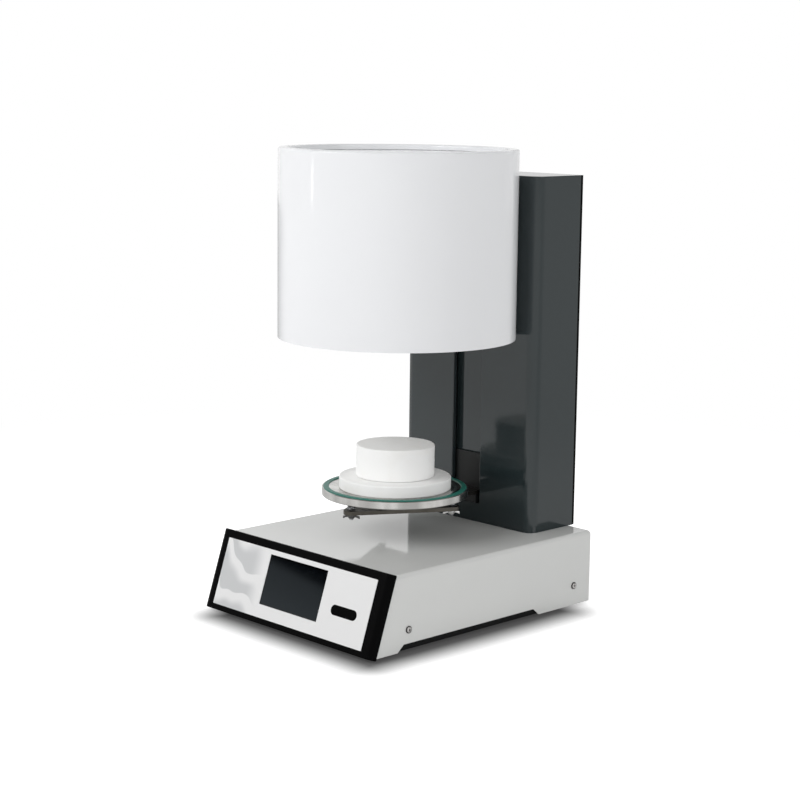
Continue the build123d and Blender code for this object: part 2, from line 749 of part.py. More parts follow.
with BuildPart() as column_cover:
    with BuildSketch(Plane.XY.offset(base_top)):
        with Locations((0, cover_middle)):
            Rectangle(column_width, cover_depth)
    extrude(amount=column_height)
    fillet(column_cover.edges().filter_by(Axis.Z).group_by(Axis.Y)[0], column_bend)
    top_face = column_cover.faces().sort_by(Axis.Z)[-1]
    fillet(top_face.edges() - top_face.edges().group_by(Axis.Y)[-1], top_bend)
    with BuildSketch(Plane.XY.offset(base_top)):
        with Locations((0, cover_middle + sheet)):
            Rectangle(column_width - 2 * sheet, cover_depth)
            fillet(vertices().group_by(Axis.Y)[0], column_bend - sheet)
    extrude(amount=column_height - sheet, mode=Mode.SUBTRACT)
    with BuildSketch(Plane.XZ.offset(-column_front_y)):
        with Locations((0, (slot_top + slot_bottom) / 2)):
            Rectangle(2 * slot_half, slot_top - slot_bottom)
        with Locations((0, (hanger_top + hanger_bottom) / 2)):
            with GridLocations(2 * hanger_x, 1, 2, 1):
                Rectangle(hanger_thickness + 2 * hole_margin, hanger_top - hanger_bottom + 2 * hole_margin)
        with Locations((line_x, line_entry_z)):
            Circle(line_radius + hole_margin)
    extrude(amount=-2 * sheet, mode=Mode.SUBTRACT)
    with BuildSketch(Plane.XY.offset(slot_bottom)):
        with Locations((0, column_front_y + slot_return / 2)):
            with GridLocations(2 * slot_half + sheet, 1, 2, 1):
                Rectangle(sheet, slot_return)
    extrude(amount=slot_top - slot_bottom)
    slot_edges = column_cover.edges().filter_by(Axis.Z).group_by(Axis.Y)[0].sort_by(SortBy.LENGTH)
    fillet(slot_edges.filter_by(lambda edge: edge.length > lift_travel), slot_bend)
column_cover.part.label = "column_cover"
export_step(column_cover.part, "parts/column_cover.step")

# The black back panel: a shallow tray with two fields of pressed louvres.
back_edge_radius = 1.2
louvre_width = 64.0
louvre_height = 5.0
louvre_pitch = 17.0
louvre_rows = 6
louvre_space = 14.0         # between the two fields
louvre_hood = 2.6
louvre_sheet = 1.0
louvre_lap = 0.6            # the hoods start this far above their openings
louvre_middle = base_top + 0.62 * column_height
with BuildPart() as column_back_panel:
    with BuildSketch(Plane.XY.offset(base_top + seat_gap)):
        with Locations((0, cover_rear_y + seat_gap + (back_panel_depth - seat_gap) / 2)):
            Rectangle(column_width, back_panel_depth - seat_gap)
    extrude(amount=column_height - seat_gap)
    fillet(column_back_panel.edges().group_by(Axis.Y)[-1], back_edge_radius)
    with BuildSketch(back_to_front(column_rear)):
        with Locations((0, louvre_middle)):
            with GridLocations(louvre_width + louvre_space, louvre_pitch, 2, louvre_rows):
                Rectangle(louvre_width, louvre_height)
    extrude(amount=-2 * back_panel_depth, mode=Mode.SUBTRACT)
    for row in range(louvre_rows):
        hood_z = louvre_middle + (row - (louvre_rows - 1) / 2) * louvre_pitch
        for field in (-1, 1):
            field_start = field * (louvre_width + louvre_space) / 2 - louvre_width / 2
            with BuildSketch(Plane.YZ.offset(field_start)):
                with BuildLine():
                    Polyline(
                        (column_rear_y - louvre_sheet, hood_z + louvre_height / 2 + louvre_lap),
                        (column_rear_y, hood_z + louvre_height / 2 + louvre_lap),
                        (column_rear_y + louvre_hood, hood_z - louvre_height / 2),
                        (column_rear_y + louvre_hood - louvre_sheet, hood_z - louvre_height / 2),
                        close=True,
                    )
                make_face()
            extrude(amount=louvre_width)
column_back_panel.part.label = "column_back_panel"
export_step(column_back_panel.part, "parts/column_back_panel.step")

# -------------------------------------------------------------- frame in the column
frame_wall = 3.0
frame_bend = 5.0
frame_back_gap = 8.0        # frame to the back panel
frame_side_gap = 14.0       # frame to the outside of the column's sides
frame_flange = 22.0         # depth of the frame's sides
frame_rear = column_rear - back_panel_depth - frame_back_gap
frame_front = frame_rear - frame_flange
frame_half = column_width / 2 - frame_side_gap
frame_top_gap = 12.0
frame_top = column_top - frame_top_gap
frame_window_width = 36.0
frame_window_height = 24.0
frame_window_pitch_x = 110.0
frame_window_pitch_z = 40.0
frame_window_corner = 4.0
shield_thickness = 1.5
block_half = 44.0
block_height = 16.0
block_corner = 4.0
block_front = column_front + shield_depth + shield_thickness
upper_block_z = slot_top + 2.0
rod_span = 64.0
rod_radius = 6.0
screw_radius = 5.0
screw_hole = 6.5

with BuildPart() as column_frame:
    with BuildSketch(Plane.XY.offset(base_top)):
        with Locations((0, axis_y + frame_rear - frame_wall / 2)):
            Rectangle(2 * frame_half, frame_wall)
        with Locations((0, axis_y + (frame_rear + frame_front) / 2)):
            with GridLocations(2 * frame_half - frame_wall, 1, 2, 1):
                Rectangle(frame_wall, frame_rear - frame_front)
    extrude(amount=frame_top - base_top)
    fillet(column_frame.edges().filter_by(Axis.Z).group_by(Axis.Y)[-1], frame_bend)
    with BuildSketch(Plane.XZ.offset(-(axis_y + frame_rear))):
        with Locations((0, louvre_middle)):
            with GridLocations(frame_window_pitch_x, frame_window_pitch_z, 2, 3):
                RectangleRounded(frame_window_width, frame_window_height, frame_window_corner)
    extrude(amount=2 * frame_wall, both=True, mode=Mode.SUBTRACT)
column_frame.part.label = "column_frame"
export_step(column_frame.part, "parts/column_frame.step")

block_rear = frame_rear - frame_wall
bearing_radius = 13.0
bearing_width = 8.0
for name, block_z in (("lower_end_block", base_top), ("upper_end_block", upper_block_z)):
    with BuildPart() as end_block:
        with BuildSketch(level(block_z)):
            with Locations((0, (block_rear + block_front) / 2)):
                Rectangle(2 * block_half, block_rear - block_front)
        extrude(amount=block_height)
        fillet(end_block.edges().filter_by(Axis.Z).group_by(Axis.Y)[0], block_corner)
        with BuildSketch(level(block_z)):
            with Locations((0, screw_axis)):
                Circle(screw_hole)
                with GridLocations(rod_span, 1, 2, 1):
                    Circle(rod_radius)
        extrude(amount=block_height, mode=Mode.SUBTRACT)
        with BuildSketch(level(block_z + block_height)):
            with Locations((0, screw_axis)):
                Circle(bearing_radius)
        extrude(amount=-bearing_width, mode=Mode.SUBTRACT)
    end_block.part.label = name
    export_step(end_block.part, f"parts/{name}.step")

with BuildPart() as guide_rods:
    with BuildSketch(level(base_top)):
        with Locations((0, screw_axis)):
            with GridLocations(rod_span, 1, 2, 1):
                Circle(rod_radius)
    extrude(amount=upper_block_z + block_height - base_top)
guide_rods.part.label = "guide_rods"
export_step(guide_rods.part, "parts/guide_rods.step")

with BuildPart() as screw_bearings:
    for block_z in (base_top, upper_block_z):
        with BuildSketch(level(block_z + block_height)):
            with Locations((0, screw_axis)):
                Circle(bearing_radius)
                Circle(screw_radius + fit_gap, mode=Mode.SUBTRACT)
        extrude(amount=-bearing_width)
screw_bearings.part.label = "screw_bearings"
export_step(screw_bearings.part, "parts/screw_bearings.step")

shield_half = 25.0
with BuildPart() as slot_shield:
    with BuildSketch(level(base_top)):
        with Locations((0, column_front + shield_depth + shield_thickness / 2)):
            Rectangle(2 * shield_half, shield_thickness)
    extrude(amount=upper_block_z + block_height - base_top)
slot_shield.part.label = "slot_shield"
export_step(slot_shield.part, "parts/slot_shield.step")

# ------------------------------------------------------------------- lift drive
motor_size = 42.3
motor_height = 46.0
motor_cap = 9.0             # height of the end caps above and below the laminations
motor_bevel = 4.0
motor_top = base_top - 28.0
motor_pilot = 11.0
motor_pilot_height = 2.0
shaft_radius = 2.5
shaft_depth = 10.0          # the shaft's seat in the motor
with BuildPart() as lift_motor:
    with BuildSketch(level(motor_top)):
        with Locations((0, screw_axis)):
            Rectangle(motor_size, motor_size)
            chamfer(vertices(), motor_bevel)
    extrude(amount=-motor_height)
    with BuildSketch(level(motor_top - motor_cap)):
        with Locations((0, screw_axis)):
            Rectangle(motor_size, motor_size)
            Rectangle(motor_size - sheet, motor_size - sheet, mode=Mode.SUBTRACT)
    extrude(amount=2 * motor_cap - motor_height, mode=Mode.SUBTRACT)
    with BuildSketch(level(motor_top)):
        with Locations((0, screw_axis)):
            Circle(motor_pilot)
    extrude(amount=motor_pilot_height)
    with BuildSketch(level(motor_top + motor_pilot_height)):
        with Locations((0, screw_axis)):
            Circle(shaft_radius + fit_gap)
    extrude(amount=-shaft_depth - motor_pilot_height, mode=Mode.SUBTRACT)
lift_motor.part.label = "lift_motor"
export_step(lift_motor.part, "parts/lift_motor.step")

mount_wall = 3.0
mount_ear = 14.0            # the mount's ears, screwed under the housing's top
mount_half = motor_size / 2 + 6.0
mount_top = base_top - sheet
with BuildPart() as motor_mount:
    with BuildSketch(Plane(origin=(0, axis_y + screw_axis, 0), x_dir=(1, 0, 0), z_dir=(0, -1, 0))):
        with BuildLine():
            Polyline(
                (-mount_half - mount_ear, mount_top),
                (-mount_half - mount_ear, mount_top - mount_wall),
                (-mount_half, mount_top - mount_wall),
                (-mount_half, motor_top),
                (mount_half, motor_top),
                (mount_half, mount_top - mount_wall),
                (mount_half + mount_ear, mount_top - mount_wall),
                (mount_half + mount_ear, mount_top),
                (mount_half - mount_wall, mount_top),
                (mount_half - mount_wall, motor_top + mount_wall),
                (-mount_half + mount_wall, motor_top + mount_wall),
                (-mount_half + mount_wall, mount_top),
                close=True,
            )
        make_face()
    extrude(amount=motor_size / 2, both=True)
    with BuildSketch(level(motor_top)):
        with Locations((0, screw_axis)):
            Circle(motor_pilot + seat_gap)
    extrude(amount=mount_wall, mode=Mode.SUBTRACT)
motor_mount.part.label = "motor_mount"
export_step(motor_mount.part, "parts/motor_mount.step")

coupling_radius = 9.5
coupling_z = motor_top + 5.0
coupling_height = 22.0
coupling_middle = coupling_z + coupling_height / 2
coupling_cuts = 3           # the slits that make it flexible
coupling_cut_width = 1.2
coupling_cut_depth = 2.5
coupling_cut_pitch = 3.0
with BuildPart() as shaft_coupling:
    with BuildSketch(level(coupling_z)):
        with Locations((0, screw_axis)):
            Circle(coupling_radius)
    extrude(amount=coupling_height)
    with BuildSketch(level(coupling_z)):
        with Locations((0, screw_axis)):
            Circle(shaft_radius)
    extrude(amount=coupling_height / 2, mode=Mode.SUBTRACT)
    with BuildSketch(level(coupling_z + coupling_height)):
        with Locations((0, screw_axis)):
            Circle(screw_radius)
    extrude(amount=-coupling_height / 2, mode=Mode.SUBTRACT)
    for cut in range(coupling_cuts):
        cut_z = coupling_middle + (cut - (coupling_cuts - 1) / 2) * coupling_cut_pitch
        with BuildSketch(level(cut_z)):
            with Locations((0, screw_axis)):
                Circle(coupling_radius)
                Circle(coupling_radius - coupling_cut_depth, mode=Mode.SUBTRACT)
        extrude(amount=coupling_cut_width / 2, both=True, mode=Mode.SUBTRACT)
shaft_coupling.part.label = "shaft_coupling"
export_step(shaft_coupling.part, "parts/shaft_coupling.step")

shaft_end_gap = 1.0         # the two shafts' ends stay this far from the coupling's middle
shaft_bottom = motor_top - shaft_depth + shaft_end_gap
with BuildPart() as motor_shaft:
    with BuildSketch(level(shaft_bottom)):
        with Locations((0, screw_axis)):
            Circle(shaft_radius)
    extrude(amount=coupling_middle - shaft_end_gap - shaft_bottom)
motor_shaft.part.label = "motor_shaft"
export_step(motor_shaft.part, "parts/motor_shaft.step")

screw_bevel = 1.0
screw_bottom = coupling_middle + shaft_end_gap
screw_top = upper_block_z + block_height + 3.0
with BuildPart() as lead_screw:
    with BuildSketch(level(screw_bottom)):
        with Locations((0, screw_axis)):
            Circle(screw_radius)
    extrude(amount=screw_top - screw_bottom)
    chamfer(lead_screw.edges().group_by(Axis.Z)[-1], screw_bevel)
lead_screw.part.label = "lead_screw"
export_step(lead_screw.part, "parts/lead_screw.step")

# --------------------------------------------------------------------- drum casing
# The drum is a rolled sheet with a curled rim, cut away where it meets the column.
rim_curl = 2.5
rim_lip = 6.0
with BuildPart() as drum_shell:
    with BuildSketch(Plane(origin=(0, axis_y, drum_bottom), x_dir=(1, 0, 0), z_dir=(0, -1, 0))):
        with BuildLine():
            Polyline(
                (drum_radius - drum_wall, 0),
                (drum_radius, 0),
                (drum_radius, drum_height),
                (drum_radius - drum_rim, drum_height),
                (drum_radius - drum_rim, drum_height - rim_lip),
                (drum_radius - drum_rim + drum_wall, drum_height - rim_lip),
                (drum_radius - drum_rim + drum_wall, drum_height - drum_wall),
                (drum_radius - drum_wall, drum_height - drum_wall),
                close=True,
            )
        make_face()
        rim_corners = vertices().group_by(Axis.Y)[-1]
        fillet(rim_corners, rim_curl)
    revolve(axis=Axis((0, axis_y, 0), (0, 0, 1)))
    with BuildSketch(Plane.XY.offset(drum_bottom)):
        with Locations((0, column_front_y - seat_gap + drum_radius)):
            Rectangle(column_width, 2 * drum_radius)
    extrude(amount=column_top + seat_gap - drum_bottom, mode=Mode.SUBTRACT)
drum_shell.part.label = "drum_shell"
export_step(drum_shell.part, "parts/drum_shell.step")

# The lid lies against the rim's inner lip from below and leaves a shallow well.
lid_drop = rim_lip + seat_gap
lid_thickness = 2.0
vent_count = 12
vent_circle = 92.0
vent_length = 34.0
vent_width = 5.0
with BuildPart() as drum_lid:
    with BuildSketch(level(drum_top - lid_drop)):
        Circle(drum_radius - drum_wall - seat_gap)
        with PolarLocations(vent_circle, vent_count):
            SlotOverall(vent_length, vent_width, mode=Mode.SUBTRACT)
    extrude(amount=-lid_thickness)
drum_lid.part.label = "drum_lid"
export_step(drum_lid.part, "parts/drum_lid.step")

# The drum's floor closes the ring between the shell and the chamber's flange.
flange_face = drum_bottom + flange_rise
flange_bore = disc_radius + 4.1
flange_height = 8.0
flange_bevel = 0.8
floor_rise = 3.0
floor_thickness = 1.5
with BuildPart() as drum_floor:
    with BuildSketch(level(drum_bottom + floor_rise)):
        Circle(drum_radius - drum_wall - seat_gap)
        Circle(flange_outer + seat_gap, mode=Mode.SUBTRACT)
        with Locations((0, column_front - seat_gap + drum_radius)):
            Rectangle(column_width, 2 * drum_radius, mode=Mode.SUBTRACT)
    extrude(amount=floor_thickness)
drum_floor.part.label = "drum_floor"
export_step(drum_floor.part, "parts/drum_floor.step")

# ------------------------------------------------------------------ heating chamber
case_wall = 1.2
case_bottom = drum_bottom + floor_rise + floor_thickness + seat_gap
flange_lip = case_radius - 4.0
muffle_bore = table_radius + 7.2
muffle_wall = 6.0
muffle_height = 76.0
hearth_height = 15.0
roof_height = 52.0
case_lid_room = 10.0        # roof insulation to the case's lid
probe_radius = 2.6
probe_reach = 12.0          # the thermocouple's tip below the chamber's roof
case_inner = case_radius - case_wall
hearth_z = flange_face + flange_height + seat_gap
muffle_z = hearth_z + hearth_height
roof_z = muffle_z + muffle_height
case_height = roof_z + roof_height + case_lid_room - case_bottom

with BuildPart() as chamber_flange:
    with BuildSketch(Plane(origin=(0, axis_y, flange_face), x_dir=(1, 0, 0), z_dir=(0, -1, 0))):
        with BuildLine():
            Polyline(
                (flange_bore, 0),
                (flange_outer, 0),
                (flange_outer, case_bottom - flange_face),
                (flange_lip, case_bottom - flange_face),
                (flange_lip, flange_height),
                (flange_bore, flange_height),
                close=True,
            )
        make_face()
        chamfer(vertices().group_by(Axis.Y)[0], flange_bevel)
    revolve(axis=Axis((0, axis_y, 0), (0, 0, 1)))
chamber_flange.part.label = "chamber_flange"
export_step(chamber_flange.part, "parts/chamber_flange.step")

with BuildPart() as chamber_case:
    with BuildSketch(level(case_bottom)):
        Circle(case_radius)
        Circle(case_inner, mode=Mode.SUBTRACT)
    extrude(amount=case_height)
chamber_case.part.label = "chamber_case"
export_step(chamber_case.part, "parts/chamber_case.step")

hearth_bore = disc_radius + 2.6
hearth_bevel = 2.0
muffle_bevel = 1.0
with BuildPart() as hearth_ring:
    with BuildSketch(level(hearth_z)):
        Circle(case_inner - seat_gap)
        Circle(hearth_bore, mode=Mode.SUBTRACT)
    extrude(amount=hearth_height - seat_gap)
    chamfer(hearth_ring.edges().group_by(Axis.Z)[-1].sort_by(SortBy.RADIUS)[0], hearth_bevel)
hearth_ring.part.label = "hearth_ring"
export_step(hearth_ring.part, "parts/hearth_ring.step")

with BuildPart() as heating_muffle:
    with BuildSketch(level(muffle_z)):
        Circle(muffle_bore + muffle_wall)
        Circle(muffle_bore, mode=Mode.SUBTRACT)
    extrude(amount=muffle_height - seat_gap)
    chamfer(heating_muffle.edges().group_by(Axis.Z)[0], muffle_bevel)
heating_muffle.part.label = "heating_muffle"
export_step(heating_muffle.part, "parts/heating_muffle.step")

with BuildPart() as side_insulation:
    with BuildSketch(level(muffle_z)):
        Circle(case_inner - seat_gap)
        Circle(muffle_bore + muffle_wall + seat_gap, mode=Mode.SUBTRACT)
    extrude(amount=muffle_height - seat_gap)
side_insulation.part.label = "side_insulation"
export_step(side_insulation.part, "parts/side_insulation.step")

with BuildPart() as roof_insulation:
    with BuildSketch(level(roof_z)):
        Circle(case_inner - seat_gap)
        Circle(probe_radius + seat_gap, mode=Mode.SUBTRACT)
    extrude(amount=roof_height)
roof_insulation.part.label = "roof_insulation"
export_step(roof_insulation.part, "parts/roof_insulation.step")

case_lid_z = case_bottom + case_height
case_lid_thickness = 2.0
case_lid_lip = 3.7
case_lid_top = case_lid_z + case_lid_thickness
with BuildPart() as case_lid:
    with BuildSketch(level(case_lid_z)):
        Circle(case_radius)
        Circle(probe_radius + seat_gap, mode=Mode.SUBTRACT)
    extrude(amount=case_lid_thickness)
    with BuildSketch(level(case_lid_z)):
        Circle(case_inner - seat_gap)
        Circle(case_inner - seat_gap - case_lid_lip, mode=Mode.SUBTRACT)
    extrude(amount=roof_z + roof_height + seat_gap - case_lid_z)
case_lid.part.label = "case_lid"
export_step(case_lid.part, "parts/case_lid.step")

probe_tip = roof_z - probe_reach
probe_tip_radius = 2.2
probe_head_length = 26.0
probe_head_width = 18.0
probe_head_height = 14.0
probe_head_corner = 4.0
with BuildPart() as thermocouple:
    with BuildSketch(level(probe_tip)):
        Circle(probe_radius)
    extrude(amount=case_lid_top - probe_tip)
    fillet(thermocouple.edges().group_by(Axis.Z)[0], probe_tip_radius)
    with BuildSketch(level(case_lid_top)):
        RectangleRounded(probe_head_length, probe_head_width, probe_head_corner)
    extrude(amount=probe_head_height)
thermocouple.part.label = "thermocouple"
export_step(thermocouple.part, "parts/thermocouple.step")

terminal_span = 124.0
terminal_radius = 8.0
terminal_height = 12.0
stud_radius = 3.0
stud_height = 6.0
with BuildPart() as heater_terminals:
    with BuildSketch(level(case_lid_top)):
        with GridLocations(terminal_span, 1, 2, 1):
            Circle(terminal_radius)
    extrude(amount=terminal_height)
    with BuildSketch(level(case_lid_top + terminal_height)):
        with GridLocations(terminal_span, 1, 2, 1):
            Circle(stud_radius)
    extrude(amount=stud_height)
heater_terminals.part.label = "heater_terminals"
export_step(heater_terminals.part, "parts/heater_terminals.step")

# The hanger carries the chamber: two webs come through the column's front from
# the frame, and two curved ribs cradle the case.
hanger_plate = 3.0
hanger_half = hanger_x + 10.0
hanger_rib = 4.0
hanger_ribs = (hanger_bottom, (hanger_bottom + hanger_top - hanger_rib) / 2, hanger_top - hanger_rib)
hanger_plate_front = case_radius + seat_gap
hanger_web_rear = frame_rear - frame_wall
rib_reach = 27.0            # the ribs reach this far round the case from its rear
with BuildPart() as drum_hanger:
    with BuildSketch(level(hanger_bottom)):
        with Locations((0, hanger_plate_front + hanger_plate / 2)):
            Rectangle(2 * hanger_half, hanger_plate)
        with Locations((0, (hanger_plate_front + hanger_web_rear) / 2)):
            with GridLocations(2 * hanger_x, 1, 2, 1):
                Rectangle(hanger_thickness, hanger_web_rear - hanger_plate_front)
    extrude(amount=hanger_top - hanger_bottom)
    for rib_z in hanger_ribs:
        with BuildSketch(level(rib_z)):
            with Locations((0, hanger_plate_front + (hanger_plate - rib_reach) / 2)):
                Rectangle(2 * hanger_half, rib_reach + hanger_plate)
            Circle(case_radius + seat_gap, mode=Mode.SUBTRACT)
        extrude(amount=hanger_rib)
drum_hanger.part.label = "drum_hanger"
export_step(drum_hanger.part, "parts/drum_hanger.step")

# The vacuum line runs from the port up the column and into the chamber's case.
line_end = axis_y + sqrt(case_radius**2 - line_x**2) + line_radius
line_start = axis_y + panel_rear - port_depth - seat_gap
line_bend = 9.0
line_offset = 12.0          # the upright run starts this far above the port
with BuildPart() as vacuum_line:
    with BuildLine() as line_route:
        FilletPolyline(
            (port_x, line_start, port_z),
            (port_x, axis_y + line_y, port_z),
            (line_x, axis_y + line_y, port_z + line_offset),
            (line_x, axis_y + line_y, line_entry_z),
            (line_x, line_end, line_entry_z),
            radius=line_bend,
        )
    with BuildSketch(Plane(origin=line_route.line @ 0, z_dir=line_route.line % 0)):
        Circle(line_radius)
    sweep()
vacuum_line.part.label = "vacuum_line"
export_step(vacuum_line.part, "parts/vacuum_line.step")

# ------------------------------------------------------------------- lift carriage
carriage_margin = 5.0       # the carriage is this much shorter than the bracket at each end
carriage_z = arm_bottom + carriage_margin
carriage_height = bracket_height - 2 * carriage_margin
carriage_half = 46.0
carriage_corner = 3.0
carriage_front = column_front + 18.0
carriage_rear = screw_axis + 16.0
bearing_outer = 10.5
nut_radius = 8.0
nut_flange_radius = 14.0
web_gap = 3.0               # shield's edges to the webs
web_thickness = 3.0
web_x = shield_half + web_gap
bracket_half = web_x + web_thickness
bracket_plate = 3.0
bracket_foot = 14.0         # width of the feet screwed to the carriage
bracket_slot_gap = 0.6      # slot's folded edges to the bracket
bracket_front = column_front + slot_return + bracket_slot_gap

with BuildPart() as lift_carriage:
    with BuildSketch(level(carriage_z)):
        with Locations((0, (carriage_front + carriage_rear) / 2)):
            Rectangle(2 * carriage_half, carriage_rear - carriage_front)
            fillet(vertices(), carriage_corner)
        with Locations((0, screw_axis)):
            Circle(nut_radius, mode=Mode.SUBTRACT)
            with GridLocations(rod_span, 1, 2, 1):
                Circle(bearing_outer, mode=Mode.SUBTRACT)
    extrude(amount=carriage_height)
lift_carriage.part.label = "lift_carriage"
export_step(lift_carriage.part, "parts/lift_carriage.step")

with BuildPart() as linear_bearings:
    with BuildSketch(level(carriage_z)):
        with Locations((0, screw_axis)):
            with GridLocations(rod_span, 1, 2, 1):
                Circle(bearing_outer)
                Circle(rod_radius + fit_gap, mode=Mode.SUBTRACT)
    extrude(amount=carriage_height)
linear_bearings.part.label = "linear_bearings"
export_step(linear_bearings.part, "parts/linear_bearings.step")

nut_height = 20.0
nut_flange = 4.0
with BuildPart() as lead_nut:
    with BuildSketch(level(carriage_z - nut_flange)):
        with Locations((0, screw_axis)):
            Circle(nut_flange_radius)
    extrude(amount=nut_flange)
    with BuildSketch(level(carriage_z)):
        with Locations((0, screw_axis)):
            Circle(nut_radius)
    extrude(amount=nut_height)
    with BuildSketch(level(carriage_z - nut_flange)):
        with Locations((0, screw_axis)):
            Circle(screw_radius + fit_gap)
    extrude(amount=nut_height + nut_flange, mode=Mode.SUBTRACT)
lead_nut.part.label = "lead_nut"
export_step(lead_nut.part, "parts/lead_nut.step")

# The bracket fills the slot in front of the shield, and two webs reach round the
# shield to the carriage.
with BuildPart() as lift_bracket:
    with BuildSketch(level(arm_bottom)):
        with Locations((0, bracket_front + bracket_plate / 2)):
            Rectangle(2 * bracket_half, bracket_plate)
        with Locations((0, (bracket_front + carriage_front) / 2)):
            with GridLocations(2 * web_x + web_thickness, 1, 2, 1):
                Rectangle(web_thickness, carriage_front - bracket_front)
        with Locations((0, carriage_front - bracket_plate / 2)):
            with GridLocations(2 * web_x + bracket_foot, 1, 2, 1):
                Rectangle(bracket_foot, bracket_plate)
    extrude(amount=bracket_height)
lift_bracket.part.label = "lift_bracket"
export_step(lift_bracket.part, "parts/lift_bracket.step")

# A short arm stands on the bracket's front and comes out of the slot.
arm_half = 20.0
arm_height = 10.5
arm_reach = 4.0             # how far it stands out in front of the column
arm_bevel = 0.8
arm_length = bracket_front - column_front + arm_reach
with BuildPart() as lift_arm:
    with BuildSketch(level(arm_bottom)):
        with Locations((0, bracket_front - arm_length / 2)):
            Rectangle(2 * arm_half, arm_length)
    extrude(amount=arm_height)
    chamfer(lift_arm.faces().sort_by(Axis.Y)[0].edges(), arm_bevel)
lift_arm.part.label = "lift_arm"
export_step(lift_arm.part, "parts/lift_arm.step")

# ----------------------------------------------------------------------- platform
# The star plate's tail lies on the arm and ends against the bracket.
star_z = arm_bottom + arm_height
star_thickness = 4.5
star_reach = disc_radius + 3.1   # lift axis to the levelling screws
star_corner = 9.0
star_turn = -90.0
rim_z = base_top + platform_rise
rim_top = rim_z + platform_rim
platform_floor = 8.0
adjuster_radius = 2.5
adjuster_play = 0.2
adjusters = PolarLocations(star_reach, 3, start_angle=star_turn)
with BuildPart() as star_plate:
    with BuildSketch(level(star_z)):
        with adjusters:
            Circle(star_corner)
        make_hull()
        with Locations((0, bracket_front / 2)):
            Rectangle(2 * arm_half, bracket_front)
        with adjusters:
            Circle(adjuster_radius + adjuster_play, mode=Mode.SUBTRACT)
    extrude(amount=star_thickness)
star_plate.part.label = "star_plate"
export_step(star_plate.part, "parts/star_plate.step")

groove_depth = 3.0
rim_inner = seal_inner - 3.5
dish_radius = disc_radius + 3.4
dish_thickness = 3.0
dish_under = platform_floor - dish_thickness    # the dish is hollow from below
dish_under_radius = seal_inner - 4.0
pad_radius = 7.0
pad_height = 2.3
rim_bevel = 0.8
with BuildPart() as platform_dish:
    with BuildSketch(Plane(origin=(0, axis_y, rim_z), x_dir=(1, 0, 0), z_dir=(0, -1, 0))):
        with BuildLine():
            Polyline(
                (0, dish_under),
                (dish_under_radius, dish_under),
                (dish_under_radius, 0),
                (platform_radius - rim_bevel, 0),
                (platform_radius, rim_bevel),
                (platform_radius, platform_rim - rim_bevel),
                (platform_radius - rim_bevel, platform_rim),
                (seal_outer, platform_rim),
                (seal_outer, platform_rim - groove_depth),
                (seal_inner, platform_rim - groove_depth),
                (seal_inner, platform_rim),
                (rim_inner, platform_rim),
                (dish_radius, platform_floor),
                (0, platform_floor),
                close=True,
            )
        make_face()
    revolve(axis=Axis((0, axis_y, 0), (0, 0, 1)))
    with BuildSketch(level(rim_z + dish_under)):
        with adjusters:
            Circle(pad_radius)
    extrude(amount=-dish_under - pad_height)
platform_dish.part.label = "platform_dish"
export_step(platform_dish.part, "parts/platform_dish.step")

seal_edge = 0.8
with BuildPart() as seal_ring:
    with BuildSketch(level(rim_top - groove_depth)):
        Circle(seal_outer - fit_gap)
        Circle(seal_inner + fit_gap, mode=Mode.SUBTRACT)
    extrude(amount=groove_depth + seal_proud)
    chamfer(seal_ring.edges().group_by(Axis.Z)[-1], seal_edge)
seal_ring.part.label = "seal_ring"
export_step(seal_ring.part, "parts/seal_ring.step")

ceramic_edge = 1.8          # round upper edge of both ceramics
ceramic_bevel = 1.0
with BuildPart() as base_disc:
    with BuildSketch(level(rim_z + platform_floor)):
        Circle(disc_radius)
    extrude(amount=disc_height)
    fillet(base_disc.edges().group_by(Axis.Z)[-1], ceramic_edge)
    chamfer(base_disc.edges().group_by(Axis.Z)[0], ceramic_bevel)
base_disc.part.label = "base_disc"
export_step(base_disc.part, "parts/base_disc.step")

table_z = rim_z + platform_floor + disc_height + seat_gap
with BuildPart() as firing_table:
    with BuildSketch(level(table_z)):
        Circle(table_radius)
    extrude(amount=table_height)
    fillet(firing_table.edges().group_by(Axis.Z)[-1], ceramic_edge)
    chamfer(firing_table.edges().group_by(Axis.Z)[0], ceramic_bevel)
firing_table.part.label = "firing_table"
export_step(firing_table.part, "parts/firing_table.step")

# Three sprung screws with wing nuts level the platform on the star plate.
screw_tail = 6.5            # how far the screws hang below the star plate
screw_point = 0.6
with BuildPart() as levelling_screws:
    with BuildSketch(level(star_z - screw_tail)):
        with adjusters:
            Circle(adjuster_radius)
    extrude(amount=rim_z - pad_height - star_z + screw_tail)
    chamfer(levelling_screws.edges().group_by(Axis.Z)[0], screw_point)
levelling_screws.part.label = "levelling_screws"
export_step(levelling_screws.part, "parts/levelling_screws.step")

spring_wire = 0.6           # wire radius
spring_radius = 4.2
spring_turns = 3.0
spring_seat = 0.1           # between a spring's ends and the plates
spring_room = rim_z - pad_height - star_z - star_thickness
spring_rise = spring_room - 2 * (spring_wire + spring_seat)
spring_gap = spring_rise / spring_turns - 2 * spring_wire
print("levelling spring, least gap between turns", round(spring_gap, 2))
coil_start = star_z + star_thickness + spring_wire + spring_seat
with BuildPart() as levelling_springs:
    for index in range(3):
        turn = radians(star_turn + 120 * index)
        coil_plane = Plane(
            origin=(star_reach * cos(turn), axis_y + star_reach * sin(turn), coil_start),
            x_dir=(1, 0, 0),
            z_dir=(0, 0, 1),
        )
        with BuildLine(coil_plane) as coil:
            Helix(spring_rise / spring_turns, spring_rise, spring_radius)
        with BuildSketch(Plane(origin=coil.line @ 0, z_dir=coil.line % 0)):
            RegularPolygon(spring_wire, 6)
        sweep(path=coil.line, is_frenet=True)
levelling_springs.part.label = "levelling_springs"
export_step(levelling_springs.part, "parts/levelling_springs.step")

